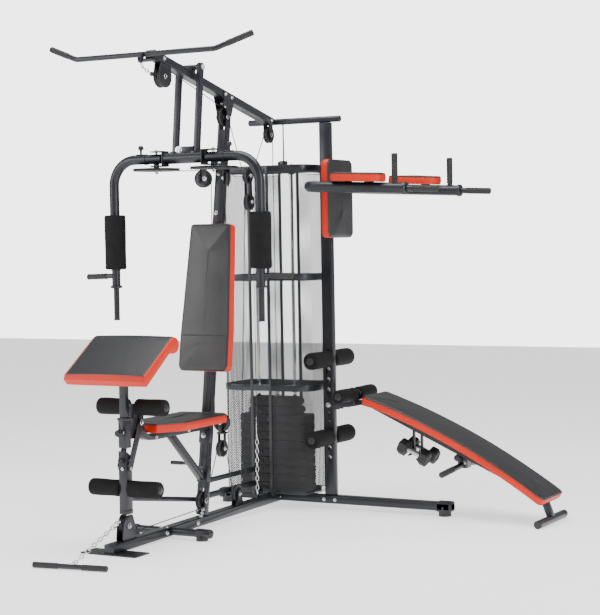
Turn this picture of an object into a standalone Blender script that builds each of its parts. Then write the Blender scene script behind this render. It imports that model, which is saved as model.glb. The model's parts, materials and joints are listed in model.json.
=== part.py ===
"""Multi station home gym: a butterfly and press station with a lat pull, a leg
developer, a preacher curl desk, a dip station and a hooked-on sit-up bench.

Units are metres, +Z is up, +X points from the stack towards the dip station, and
+Y runs from the front foot plate back to the rear stabiliser.  The origin is the
centre of the foot plate's underside, on the floor.
"""
import math

import bmesh
import bpy
from mathutils import Matrix, Vector

# ---- fits and wall gaps ----
GAP = 0.0005                 # between pieces that touch
BORE_GAP = 0.0004            # radial, between an axle and its bore

# ---- floor frame ----
PLATE_SIZE = (0.275, 0.106, 0.006)
BEAM_WIDTH, BEAM_HEIGHT = 0.050, 0.040
BEAM_FRONT = (0.0, -0.044, 0.024)
REAR_Y = 1.394               # plane of the rear frame, the stack and the dip post
REAR_Z = 0.045
REAR_DEPTH = 0.050
BEAM_REAR = (0.0, REAR_Y - REAR_DEPTH / 2 - GAP, REAR_Z)
FRONT_BAR_Y, FRONT_BAR_Z, FRONT_BAR_R, FRONT_BAR_HALF = 0.400, 0.031, 0.017, 0.225
REAR_LEFT, REAR_RIGHT = -0.325, 0.920

# ---- main upright and top beam ----
UP_WIDTH, UP_DEPTH = 0.050, 0.035
UP_FOOT, UP_TOP = (0.0, 0.686, 0.0585), (0.0, 0.9604, 1.9300)
TOP_WIDTH, TOP_HEIGHT = 0.050, 0.036
TOP_FRONT, TOP_REAR = (0.0, 0.342, 2.1030), (0.0, 1.372, 1.8620)
PULL_UP_Z, PULL_UP_R = 1.864, 0.015
PULL_UP_LEFT, PULL_UP_RIGHT = -0.130, 0.373

# ---- pulleys: centre (y, z) of each one that turns about X ----
PULLEY_R, SMALL_R = 0.045, 0.041
GROOVE, RIDE = 0.0075, 0.0042          # groove depth, cable centre below the rim
PULLEY_HALF, CABLE_R, AXLE_R = 0.010, 0.0022, 0.0045
LAT_PULLEY = (0.435, 2.012)
UPPER_SLOT = (0.936, 1.864)
REAR_TOP = (1.3572, 1.802)
LOW_PULLEY = (0.084, 0.104)
LOWER_SLOT = (0.684, 0.124)
REAR_LOW = (0.996, 0.112)
BLOCK_A_TOP, BLOCK_A_LOW = (1.150, 1.600), (1.157, 1.476)
BLOCK_B_TOP, BLOCK_B_LOW = (0.872, 0.458), (0.868, 0.338)
PRESS_X, PRESS_Y = 0.062, 0.854
CHAIN_TOP_Z, CHAIN_FOOT_Z = 0.440, 0.078

# ---- press frame and butterfly arms ----
SWING_Y, SWING_Z = 0.658, 2.068
POST_X, POST_SIDE = 0.0555, 0.026
ARM_Y, ARM_Z, ARM_PIVOT_X, ARM_X = 0.600, 1.665, 0.150, 0.382
CROSS_R, ARM_R, ARM_BEND = 0.025, 0.022, 0.115
CAM_R, CAM_Z, CAM_HALF = 0.108, 1.617, 0.005
CAM_GROOVE = CAM_R - RIDE + 0.0015
PRESS_Z = CAM_Z - SMALL_R + RIDE       # the cable runs level from the cam
FOAM_TOP, FOAM_FOOT, FOAM_R = 1.419, 1.172, 0.048
GRIP_FOOT, GRIP_R, FLANGE_Z = 0.940, 0.0125, 1.093

# ---- lat bar and low bar ----
LAT_BAR_Y, LAT_BAR_Z, LAT_BAR_R = 0.296, 2.0965, 0.0125
LAT_BEND_X, LAT_TIP = 0.355, (0.516, 0.038, 0.058)
LOW_BAR_AT, LOW_BAR_HALF, LOW_BAR_TURN = (0.034, -0.359, 0.0125), 0.166, 0.130
LOW_EYE, LOW_HOOK = (0.034, -0.3465, 0.0135), (0.0, 0.036, 0.128)

# ---- seat, leg developer and preacher desk ----
LEG_PIVOT = (0.171, 0.533)             # y, z
SOCKET_Y = 0.089
ROLLER_R, ROLLER_AXLE_R = 0.0345, 0.0095
UPPER_ROLLER, LOWER_ROLLER = (0.153, 0.599), (0.089, 0.261)
SEAT_TOP, SEAT_UNDER = 0.522, 0.478
STOP_X = -0.0235

# ---- weight stack and shroud ----
PLATES, PLATE_PITCH, PLATE_FOOT = 9, 0.0411, 0.0785
PLATE_W, PLATE_D, PLATE_ROUND = 0.360, 0.130, 0.022
HEAD_W, HEAD_H = 0.262, 0.082
GUIDE_X, GUIDE_R, SELECTOR_R = 0.100, 0.008, 0.0095
STACK_TOP = PLATE_FOOT + PLATES * PLATE_PITCH
CROSSBAR_Z = 1.635
SHROUD_X = (-0.235, 0.2495)
SHROUD_Y = (1.250, 1.560)
SHROUD_ROUND = 0.070
HOOPS = (0.585, 1.113, 1.635)
HOOP_HEIGHT, HOOP_THICK = 0.030, 0.003
PANEL_TOP, PANEL_FOOT, PANEL_THICK = 1.612, 0.080, 0.0015
SLOT_LEFT, SLOT_RIGHT = -0.058, 0.043

# ---- dip station ----
DIP_POST_X, DIP_POST_W, DIP_POST_D = 0.2915, 0.059, 0.030
DIP_NEAR, DIP_FAR = 1.0875, 1.7005
DIP_R, DIP_TIP_R, DIP_Z = 0.025, 0.0155, 1.537
DIP_ROOT_X, DIP_END_X, DIP_TIP_X, DIP_DROP = 0.3465, 0.851, 1.005, 0.045
POST_ROLLERS = (0.720, 0.347)
POST_ROLLER_R, POST_ROLLER_HALF = 0.0405, 0.195
POST_HOLES = (0.247, 0.296, 0.420, 0.460, 0.572, 0.621, 0.670)

# ---- sit-up bench ----
BENCH_PIN = (DIP_POST_X, 0.500)        # x, z
BENCH_HEAD, BENCH_FOOT, BENCH_RISE = (0.524, 0.567), (1.425, 0.127), 0.037
BENCH_HALF, BENCH_PAD_T, BENCH_RAIL_T = 0.129, 0.044, 0.025
BENCH_ROLLER = (0.428, 0.556)
BENCH_BAR = (1.403, 0.0185)
DUMBBELL_AT, DUMBBELL_Y, DUMBBELL_TILT = (0.752, 0.296), (1.349, 1.449), 24.0
CLAMP_X = 0.985

SIDES = 16                             # of a round bar


# ---- scene and materials ----

def clear_scene():
    for thing in list(bpy.data.objects):
        bpy.data.objects.remove(thing, do_unlink=True)


def new_collection(name):
    group = bpy.data.collections.new(name)
    bpy.context.scene.collection.children.link(group)
    return group


FINISHES = {
    "steel": ((0.055, 0.060, 0.070), 0.42, 0.35),
    "black": ((0.020, 0.021, 0.023), 0.50, 0.10),
    "chrome": ((0.72, 0.73, 0.74), 0.16, 1.00),
    "vinyl": ((0.035, 0.036, 0.040), 0.45, 0.00),
    "foam": ((0.014, 0.014, 0.015), 0.85, 0.00),
    "weight": ((0.018, 0.018, 0.020), 0.70, 0.00),
    "mesh": ((0.55, 0.56, 0.57), 0.45, 0.60),
    "cable": ((0.040, 0.040, 0.042), 0.35, 0.10),
}


def finish(name, kind):
    colour, rough, metal = FINISHES[kind]
    material = bpy.data.materials.new(name)
    material.use_nodes = True
    shader = material.node_tree.nodes["Principled BSDF"]
    shader.inputs["Base Color"].default_value = (*colour, 1.0)
    shader.inputs["Roughness"].default_value = rough
    shader.inputs["Metallic"].default_value = metal
    return material


def add(name, data, kind):
    """A part when it has a finish, otherwise a cutter or a piece to be joined."""
    thing = bpy.data.objects.new(name, data)
    if kind:
        PARTS.objects.link(thing)
        data.materials.append(finish(name, kind))
    else:
        TOOLS.objects.link(thing)
        thing.hide_render = True
        thing.display_type = 'WIRE'
    return thing


def mesh_from(bm, name):
    mesh = bpy.data.meshes.new(name)
    bm.to_mesh(mesh)
    bm.free()
    mesh.shade_smooth()
    mesh.set_sharp_from_angle(angle=math.radians(35))
    return mesh


# ---- shapes ----

def box(name, size, at, kind=None, turn=(0, 0, 0), soften=0.0):
    bm = bmesh.new()
    bmesh.ops.create_cube(bm, size=1.0)
    bmesh.ops.scale(bm, vec=size, verts=bm.verts)
    thing = add(name, mesh_from(bm, name), kind)
    thing.location = at
    thing.rotation_euler = turn
    if soften:
        edge = thing.modifiers.new("edge", 'BEVEL')
        edge.width, edge.segments = soften, 2
    return thing


def span(name, low, high, kind=None, soften=0.0):
    """A box given by its lowest and highest corners."""
    size = [high[i] - low[i] for i in range(3)]
    at = [(high[i] + low[i]) / 2 for i in range(3)]
    return box(name, size, at, kind, soften=soften)


def rail(name, start, end, width, height, kind=None, soften=0.004):
    """A rectangular tube between two points of one x; width is along X."""
    a, b = Vector(start), Vector(end)
    run = b - a
    tilt = math.atan2(run.z, run.y)
    return box(name, (width, run.length, height), (a + b) / 2, kind, (tilt, 0, 0), soften)


def rod(name, start, end, radius, kind=None, sides=SIDES):
    a, b = Vector(start), Vector(end)
    bm = bmesh.new()
    bmesh.ops.create_cone(bm, cap_ends=True, segments=sides, radius1=radius,
                          radius2=radius, depth=(b - a).length)
    thing = add(name, mesh_from(bm, name), kind)
    thing.location = (a + b) / 2
    thing.rotation_euler = (b - a).to_track_quat('Z', 'Y').to_euler()
    return thing


def turned(name, profile, at, axis, kind=None, steps=20, closed=False):
    """A profile of (radius, height) points, listed from the top down the outside."""
    mesh = bpy.data.meshes.new(name)
    edges = [(i, i + 1) for i in range(len(profile) - 1)]
    if closed:
        edges.append((len(profile) - 1, 0))
    mesh.from_pydata([(r, 0, h) for r, h in profile], edges, [])
    thing = add(name, mesh, kind)
    spin = thing.modifiers.new("turn", 'SCREW')
    spin.axis = 'Z'
    spin.steps = spin.render_steps = steps
    spin.use_merge_vertices = True
    spin.merge_threshold = 1e-5
    thing.location = at
    thing.rotation_euler = Vector(axis).to_track_quat('Z', 'Y').to_euler()
    return thing


def pipe(name, points, radius, kind=None, resolution=3):
    curve = bpy.data.curves.new(name, 'CURVE')
    curve.dimensions = '3D'
    curve.bevel_depth = radius
    curve.bevel_resolution = resolution
    curve.use_fill_caps = True
    spline = curve.splines.new('POLY')
    spline.points.add(len(points) - 1)
    for point, place in zip(spline.points, points):
        point.co = (*place, 1.0)
    return add(name, curve, kind)


FACING = {
    "z": Matrix.Identity(3),
    "x": Matrix(((0, 0, 1), (1, 0, 0), (0, 1, 0))),
    "y": Matrix(((1, 0, 0), (0, 0, -1), (0, 1, 0))),
}


def plate(name, outlines, thickness, at=(0, 0, 0), facing="z", kind=None, turn=None):
    """A flat outline with its holes, thick along the axis that it faces."""
    curve = bpy.data.curves.new(name, 'CURVE')
    curve.dimensions = '2D'
    curve.fill_mode = 'BOTH'
    curve.extrude = thickness / 2
    for outline in outlines:
        spline = curve.splines.new('POLY')
        spline.points.add(len(outline) - 1)
        for point, place in zip(spline.points, outline):
            point.co = (*place, 0.0, 1.0)
        spline.use_cyclic_u = True
    thing = add(name, curve, kind)
    thing.location = at
    thing.rotation_euler = turn or FACING[facing].to_euler()
    return thing


def arc(centre, radius, start, end, steps):
    """Points of an arc; angles are in degrees, and both ends are included."""
    turns = [math.radians(start + (end - start) * i / steps) for i in range(steps + 1)]
    return [(centre[0] + radius * math.cos(t), centre[1] + radius * math.sin(t)) for t in turns]


def rounded_box(low, high, radius, steps=3):
    """The outline of a rectangle with round corners, anticlockwise."""
    corners = (((high[0] - radius, low[1] + radius), -90), ((high[0] - radius, high[1] - radius), 0),
               ((low[0] + radius, high[1] - radius), 90), ((low[0] + radius, low[1] + radius), 180))
    return [p for centre, start in corners for p in arc(centre, radius, start, start + 90, steps)]


def bent(points, radius, steps=6):
    """A route through the points whose corners are arcs of one radius."""
    route = [Vector(points[0])]
    for before, corner, after in zip(points, points[1:], points[2:]):
        before, corner, after = Vector(before), Vector(corner), Vector(after)
        into, out = (before - corner).normalized(), (after - corner).normalized()
        half = into.angle(out) / 2
        reach = radius / math.tan(half)
        centre = corner + (into + out).normalized() * radius / math.sin(half)
        first, last = corner + into * reach - centre, corner + out * reach - centre
        sweep = first.angle(last)
        side = first.cross(last).normalized()
        for i in range(steps + 1):
            route.append(centre + Matrix.Rotation(sweep * i / steps, 3, side) @ first)
    route.append(Vector(points[-1]))
    return route


def strip(path, thickness):
    """The outline of a flat bar of one thickness that follows a path in its plane."""
    left, right = [], []
    for i, point in enumerate(path):
        here = Vector(point)
        before = Vector(path[max(i - 1, 0)])
        after = Vector(path[min(i + 1, len(path) - 1)])
        along = (after - before).normalized()
        side = Vector((-along.y, along.x)) * thickness / 2
        left.append(tuple(here + side))
        right.append(tuple(here - side))
    return right + left[::-1]


def as_mesh(thing):
    """Turns a curve object into a closed mesh object of the same name and place."""
    if thing.type != 'CURVE':
        return thing
    name = thing.name
    bpy.context.view_layer.update()
    graph = bpy.context.evaluated_depsgraph_get()
    mesh = bpy.data.meshes.new_from_object(thing.evaluated_get(graph))
    bm = bmesh.new()
    bm.from_mesh(mesh)
    bmesh.ops.remove_doubles(bm, verts=bm.verts, dist=1e-5)
    bm.to_mesh(mesh)
    bm.free()
    solid = bpy.data.objects.new(name, mesh)
    solid.matrix_world = thing.matrix_world
    solid.hide_render, solid.display_type = thing.hide_render, thing.display_type
    for group in list(thing.users_collection):
        group.objects.link(solid)
    bpy.data.objects.remove(thing, do_unlink=True)
    solid.name = name
    return solid


def combine(thing, tools, operation):
    thing = as_mesh(thing)
    for tool in tools:
        step = thing.modifiers.new(operation.lower(), 'BOOLEAN')
        step.operation = operation
        step.object = as_mesh(tool)
    return thing


def join(thing, *tools):
    return combine(thing, tools, 'UNION')


def cut(thing, *tools):
    return combine(thing, tools, 'DIFFERENCE')


PIVOTS = {}                            # the place of each joint's empty


def joint(name, at):
    """An empty on a joint's axis, which the moving pieces hang from."""
    empty = bpy.data.objects.new(name, None)
    bpy.context.scene.collection.objects.link(empty)
    empty.matrix_world = Matrix.Translation(at)
    PIVOTS[name] = Vector(at)
    return empty


def hang(parent, *things):
    for thing in things:
        thing.parent = parent
        thing.matrix_parent_inverse = Matrix.Translation(-PIVOTS[parent.name])


# ---- repeated parts ----

def pulley(name, centre, radius=PULLEY_R, along=(1, 0, 0), bore=AXLE_R + BORE_GAP):
    """A grooved wheel; centre is (x, y, z)."""
    half, hub = PULLEY_HALF - 0.001, PULLEY_HALF + 0.001
    floor = radius - GROOVE
    profile = [(bore, hub), (radius, half), (radius, half * 0.62), (floor, half * 0.34),
               (floor, -half * 0.34), (radius, -half * 0.62), (radius, -half), (bore, -hub)]
    return turned(name, profile, centre, along, "black", steps=22, closed=True)


def wheel_plate(name, side, centre, top, width, radius, thickness=0.004):
    """A hanging side plate with a round end about a pulley's axle, facing X."""
    y, z = centre
    outline = [(top[0] + width / 2, top[1]), (top[0] - width / 2, top[1])]
    outline += arc((y, z), radius, 180, 360, 8)
    return plate(name, [outline], thickness, (side, 0, 0), "x")


def axle(name, centre, half, radius=AXLE_R, head=0.0085, kind=None):
    """A bolt along X with a head at each end; centre is (y, z)."""
    y, z = centre
    shaft = rod(name, (-half, y, z), (half, y, z), radius, kind, sides=10)
    heads = [rod(name + "_head", (s * (half - 0.002), y, z), (s * (half + 0.004), y, z), head, sides=8)
             for s in (-1, 1)]
    return [shaft] + heads


def roller_set(name, at, axis, half, inner, radius, kind="foam"):
    """Two foam rolls on one bar, turned as one piece about the bar."""
    bar = ROLLER_AXLE_R
    soft = 0.008
    end = [(0, half + 0.006), (0.014, half + 0.006), (0.014, half)]
    roll = [(radius - soft, half), (radius, half - soft), (radius, inner + soft), (radius - soft, inner)]
    upper = end + roll + [(bar, inner)]
    lower = [(r, -h) for r, h in reversed(upper)]
    return turned(name, upper + lower, at, axis, kind, steps=16)


# ---- floor frame ----

def base_beam():
    beam = rail("base_beam", BEAM_FRONT, BEAM_REAR, BEAM_WIDTH, BEAM_HEIGHT, "steel")
    foot = box("foot_plate", PLATE_SIZE, (0, 0, PLATE_SIZE[2] / 2))
    tools = [foot]
    for side in (-0.0145, 0.0145):
        low = [(0.056, 0.030), (0.150, 0.030)] + arc(LOW_PULLEY, 0.020, 20, 160, 5)
        rear = [(REAR_LOW[0] - 0.030, 0.045), (REAR_LOW[0] + 0.030, 0.045)]
        rear += arc(REAR_LOW, 0.018, 10, 170, 5)
        tools.append(plate("low_cheek", [low], 0.004, (side, 0, 0), "x"))
        tools.append(plate("rear_cheek", [rear], 0.004, (side, 0, 0), "x"))
    tools += axle("low_axle", LOW_PULLEY, 0.018)
    tools += axle("rear_low_axle", REAR_LOW, 0.018)
    tools.append(span("chain_eye", (-0.004, 1.176, 0.050), (0.004, 1.196, CHAIN_FOOT_Z - 0.002)))
    beam = join(beam, *tools)
    tunnel = rod("stabiliser_tunnel", (-0.04, FRONT_BAR_Y, FRONT_BAR_Z), (0.04, FRONT_BAR_Y, FRONT_BAR_Z),
                 FRONT_BAR_R + GAP, sides=SIDES)
    return cut(beam, tunnel)


def front_stabilizer():
    y, z, half = FRONT_BAR_Y, FRONT_BAR_Z, FRONT_BAR_HALF
    bar = rod("front_stabilizer", (-half, y, z), (half, y, z), FRONT_BAR_R, "steel")
    tools = []
    for side in (-1, 1):
        x = side * 0.178
        tools.append(rod("cap", (side * 0.150, y, z), (side * (half + 0.006), y, z), 0.021))
        tools.append(rod("foot", (x, y, 0), (x, y, z), 0.027))
    return join(bar, *tools)


def rear_stabilizer():
    bar = span("rear_stabilizer", (REAR_LEFT, REAR_Y - REAR_DEPTH / 2, REAR_Z - 0.020),
               (REAR_RIGHT, REAR_Y + REAR_DEPTH / 2, REAR_Z + 0.020), "steel", 0.007)
    tools = []
    for x, inward in ((REAR_LEFT, 1), (REAR_RIGHT, -1)):
        ends = sorted((x - inward * 0.005, x + inward * 0.075))
        tools.append(span("cap", (ends[0], REAR_Y - 0.029, REAR_Z - 0.024),
                          (ends[1], REAR_Y + 0.029, REAR_Z + 0.024), soften=0.009))
        foot_x = x + inward * 0.036
        tools.append(rod("foot", (foot_x, REAR_Y, 0), (foot_x, REAR_Y, REAR_Z), 0.030))
    return join(bar, *tools)


# ---- main upright, top beam, rear frame ----

def press_run():
    """The left cable's level run: where it leaves its cam, and the way it heads."""
    leave, meet = tangent((-ARM_PIVOT_X, ARM_Y), CAM_GROOVE, (-PRESS_X, PRESS_Y), 0.0)
    return Vector(leave), (Vector(meet) - Vector(leave)).normalized()


def press_wheel(side):
    """Centre and axle direction of the pulley that turns one arm's cable down."""
    heading = press_run()[1]
    return Vector((side * PRESS_X, PRESS_Y, PRESS_Z)), Vector((heading.y, side * heading.x, 0))


def main_upright():
    post = rail("main_upright", UP_FOOT, UP_TOP, UP_WIDTH, UP_DEPTH, "steel", 0.005)
    slots = [span("upper_slot", (-0.0125, 0.80, 1.806), (0.0125, 1.10, 1.917)),
             span("lower_slot", (-0.0125, 0.55, 0.070), (0.0125, 0.85, 0.180))]
    post = cut(post, *slots)
    tools = axle("upper_axle", UPPER_SLOT, 0.029) + axle("lower_axle", LOWER_SLOT, 0.029)
    tools.append(span("press_bracket", (-0.094, 0.822, 1.6285), (0.094, 0.908, 1.6345)))
    for side in (-1, 1):
        centre, across = press_wheel(side)
        lean = math.atan2(across.y, across.x)
        for off in (-0.0145, 0.0145):
            at = centre + across * off
            tools.append(box("press_cheek", (0.004, 0.026, 0.070), (at.x, at.y, PRESS_Z + 0.018),
                             turn=(0, 0, lean)))
        end = across * 0.0205
        tools.append(rod("press_axle", centre - end, centre + end, AXLE_R, sides=10))
    return join(post, *tools)


def top_beam():
    beam = rail("top_beam", TOP_FRONT, TOP_REAR, TOP_WIDTH, TOP_HEIGHT, "steel")
    tools = []
    for side in (-0.0145, 0.0145):
        tools.append(wheel_plate("lat_cheek", side, LAT_PULLEY, (0.440, 2.078), 0.075, 0.049))
        tools.append(wheel_plate("rear_cheek", side, REAR_TOP, (1.350, 1.865), 0.036, 0.018))
    tools += axle("lat_axle", LAT_PULLEY, 0.019) + axle("rear_axle", REAR_TOP, 0.019, head=0.0078)
    tools.append(span("bar_shelf", (-0.046, 0.322, 2.070), (0.046, 0.356, 2.082)))
    for x in (-0.041, 0.041):
        rest = arc((LAT_BAR_Y, LAT_BAR_Z), LAT_BAR_R + GAP, 40, -25, 5)
        cradle = [(0.334, 2.064), (0.334, 2.088)] + rest
        cradle += [(LAT_BAR_Y + LAT_BAR_R + GAP * 2, 2.074), (0.318, 2.064)]
        tools.append(plate("bar_cradle", [cradle], 0.005, (x, 0, 0), "x"))
    tools.append(span("swing_saddle", (-0.020, SWING_Y - 0.0155, 2.035),
                      (0.020, SWING_Y + 0.0155, SWING_Z + 0.0035)))
    tools.append(rod("swing_sleeve", (-0.036, SWING_Y, SWING_Z), (0.036, SWING_Y, SWING_Z), 0.0125))
    beam = join(beam, *tools)
    return cut(beam, rod("swing_bore", (-0.05, SWING_Y, SWING_Z), (0.05, SWING_Y, SWING_Z),
                         0.007 + BORE_GAP, sides=16))


def pull_up_bar():
    profile = [(0, 0.5), (0.6, 0.5), (1.0, 0.494), (1.0, -0.494), (0.6, -0.5), (0, -0.5)]
    length = PULL_UP_RIGHT - PULL_UP_LEFT
    scaled = [(r * PULL_UP_R, h * length) for r, h in profile]
    middle = (PULL_UP_LEFT + PULL_UP_RIGHT) / 2
    return turned("pull_up_bar", scaled, (middle, REAR_Y, PULL_UP_Z), (1, 0, 0), "steel")


def dip_post():
    top = PULL_UP_Z - PULL_UP_R - GAP
    half_w, half_d = DIP_POST_W / 2, DIP_POST_D / 2
    post = span("dip_post", (DIP_POST_X - half_w, REAR_Y - half_d, REAR_Z + 0.020 + GAP),
                (DIP_POST_X + half_w, REAR_Y + half_d, top), "steel", 0.004)
    holes = [(z, 0.0075) for z in POST_HOLES] + [(z, ROLLER_AXLE_R + GAP) for z in POST_ROLLERS]
    holes.append((BENCH_PIN[1], 0.006 + BORE_GAP))
    drills = [rod("drill", (DIP_POST_X, REAR_Y - 0.05, z), (DIP_POST_X, REAR_Y + 0.05, z), r, sides=12)
              for z, r in holes]
    return cut(post, *drills)


# ---- seat, backrest, leg developer, preacher desk ----

def seat_frame():
    path = [(0.7245, 0.4565), (0.285, 0.4565)] + arc((0.262, 0.527), 0.070, -90, -180, 5)[1:]
    path += [(0.192, 0.568)]
    frame = plate("seat_frame", [strip(path, 0.025)], 0.038, (0, 0, 0), "x", "steel")
    tools = [rail("strut", (0, 0.440, 0.447), (0, 0.685, 0.2243), 0.036, 0.025),
             span("nose", (-0.018, 0.100, 0.468), (0.018, 0.215, 0.505)),
             span("pivot_block", (-0.020, 0.146, 0.500), (0.020, 0.196, 0.556)),
             span("tower", (-0.016, 0.138, 0.550), (0.016, 0.168, 0.612)),
             span("socket", (-0.0205, SOCKET_Y - 0.018, 0.432), (0.0205, SOCKET_Y + 0.018, 0.558), soften=0.003),
             rod("storage_peg", (-0.010, 0.600, 0.3015), (-0.104, 0.600, 0.3015), 0.0075, sides=12),
             rod("knob_stem", (0, SOCKET_Y - 0.015, 0.498), (0, 0.058, 0.498), 0.0045, sides=12),
             rod("knob", (0, 0.060, 0.498), (0, 0.0345, 0.498), 0.0135, sides=16),
             roller_set("upper_rollers", (0, *UPPER_ROLLER), (1, 0, 0), 0.168, 0.024, ROLLER_R, None)]
    tools += axle("leg_axle", LEG_PIVOT, 0.0325, radius=0.006, head=0.010)
    frame = join(frame, *tools)
    shaft = span("socket_bore", (-0.0165, SOCKET_Y - 0.0145, 0.40), (0.0165, SOCKET_Y + 0.0145, 0.60))
    return cut(frame, shaft)


def seat_pad():
    side = [(0.060, 0.243), (0.128, 0.362), (0.124, 0.712)]
    right = [(0.034, 0.243)] + side + [(0.112, 0.724)]
    outline = right + [(-x, y) for x, y in reversed(right)]
    return plate("seat_pad", [outline], SEAT_TOP - SEAT_UNDER, (0, 0, (SEAT_TOP + SEAT_UNDER) / 2),
                 "z", "vinyl")


def on_upright(z):
    """y of the upright's centreline at a height."""
    return UP_FOOT[1] + (UP_TOP[1] - UP_FOOT[1]) * (z - UP_FOOT[2]) / (UP_TOP[2] - UP_FOOT[2])


LEAN = math.atan2(UP_TOP[1] - UP_FOOT[1], UP_TOP[2] - UP_FOOT[2])


def backrest_pad():
    thick, low, high = 0.058, 0.699, 1.362
    half = (high - low) / 2 / math.cos(LEAN)
    right = [(0.110, -half), (0.128, -half + 0.020), (0.128, -half * 0.53)]
    right += [(0.109, half - 0.014), (0.094, half)]
    outline = right + [(-x, y) for x, y in reversed(right)]
    middle = (low + high) / 2
    out = (UP_DEPTH + thick) / 2 + GAP
    at = (0, on_upright(middle) - out * math.cos(LEAN), middle + out * math.sin(LEAN))
    return plate("backrest_pad", [outline], thick, at, kind="vinyl", turn=(math.pi / 2 - LEAN, 0, 0))


def leg_lever():
    y, half = SOCKET_Y, 0.020
    outline = [(y - half, 0.164), (y + half, 0.164), (y + half, 0.394), (y - half, 0.420)]
    lever = plate("leg_lever", [outline], 0.040, (0, 0, 0), "x", "steel")
    tools = [rod("boss", (-0.029, y, z), (0.029, y, z), 0.011) for z in (0.345, 0.382)]
    for side in (-1, 1):
        tools.append(rail("cheek", (side * 0.0265, y - 0.004, 0.348), (side * 0.0265, 0.178, 0.5475),
                          0.005, 0.034, soften=0))
    tools.append(roller_set("lower_rollers", (0, *LOWER_ROLLER), (1, 0, 0), 0.172, 0.0205, ROLLER_R, None))
    lever = join(lever, *tools)
    bore = rod("lever_bore", (-0.05, *LEG_PIVOT), (0.05, *LEG_PIVOT), 0.006 + BORE_GAP, sides=16)
    return cut(lever, bore)


def preacher_post():
    post = span("preacher_post", (-0.016, SOCKET_Y - 0.014, 0.440), (0.016, SOCKET_Y + 0.014, 0.780),
                "steel", 0.003)
    shelf = rail("shelf", (0, 0.010, 0.7313), (0, 0.130, 0.8172), 0.120, 0.008, soften=0)
    return join(post, shelf)


def preacher_pad():
    top = arc((0.178, 0.8615), 0.034, -75, 125, 9)
    outline = [(-0.058, 0.727), (-0.036, 0.7045), (0.138, 0.829), (0.164, 0.826)] + top
    outline += [(-0.050, 0.749)]
    return plate("preacher_pad", [outline], 0.406, (0, 0, 0), "x", "vinyl")


def leg_stop_bar():
    rear = (STOP_X, on_upright(0.128) - UP_DEPTH / 2 / math.cos(LEAN) - 0.003, 0.128)
    front = (STOP_X, 0.150, 0.208)
    bar = rod("leg_stop_bar", rear, front, 0.011, "steel")
    bumper = rod("bumper", (STOP_X, 0.166, 0.208), (STOP_X, SOCKET_Y + 0.0205, 0.208), 0.0145)
    return join(bar, bumper)


def rear_low_brace():
    x, rear, low_z, high_z = -0.036, 1.240, 0.128, 0.196
    front = on_upright(0.150) + UP_DEPTH / 2 / math.cos(LEAN) + 0.0035
    upper = rail("upper_brace", (x, front + 0.006, high_z), (x, rear, high_z), 0.022, 0.022)
    brace = rail("rear_low_brace", (x, front, low_z), (x, rear, low_z), 0.020, 0.026, "steel")
    link = span("link", (x - 0.009, 1.215, 0.120), (x + 0.009, 1.238, 0.205))
    return join(brace, upper, link)


# ---- press frame and butterfly arms ----

def press_frame():
    frame = rod("press_frame", (-0.105, ARM_Y, ARM_Z), (0.105, ARM_Y, ARM_Z), CROSS_R, "steel", sides=20)
    tools, holes = [], []
    for side in (-1, 1):
        x = side * POST_X
        tools.append(rail("post", (x, 0.612, 1.672), (x, 0.660, 2.086), POST_SIDE, POST_SIDE))
        low, high = sorted((side * 0.100, side * 0.106))
        tools.append(span("web", (low, ARM_Y - 0.028, ARM_Z - 0.035), (high, ARM_Y + 0.028, ARM_Z + 0.035)))
        low, high = sorted((side * 0.100, side * 0.176))
        for z in (ARM_Z - 0.0325, ARM_Z + 0.0325):
            tools.append(span("fork", (low, ARM_Y - 0.028, z - 0.0025), (high, ARM_Y + 0.028, z + 0.0025)))
        pin = side * ARM_PIVOT_X
        holes.append(rod("hub_hole", (pin, ARM_Y, 1.615), (pin, ARM_Y, 1.645), 0.0125 + 0.001))
        tools.append(rod("pin_head", (pin, ARM_Y, 1.699), (pin, ARM_Y, 1.709), 0.010, sides=12))
    tools.append(span("bush_block", (-0.046, ARM_Y - 0.004, 1.684), (0.046, ARM_Y + 0.018, 1.716)))
    tools.append(rod("swing_axle", (-0.070, SWING_Y, SWING_Z), (0.070, SWING_Y, SWING_Z), 0.007, sides=16))
    frame = cut(join(frame, *tools), *holes)
    pins = []
    for side in (-1, 1):
        pin = side * ARM_PIVOT_X
        pins.append(rod("pin", (pin, ARM_Y, 1.602), (pin, ARM_Y, 1.702), 0.006, sides=16))
        pins.append(rod("pin_foot", (pin, ARM_Y, 1.597), (pin, ARM_Y, 1.6035), 0.010, sides=12))
    return join(frame, *pins)


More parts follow.
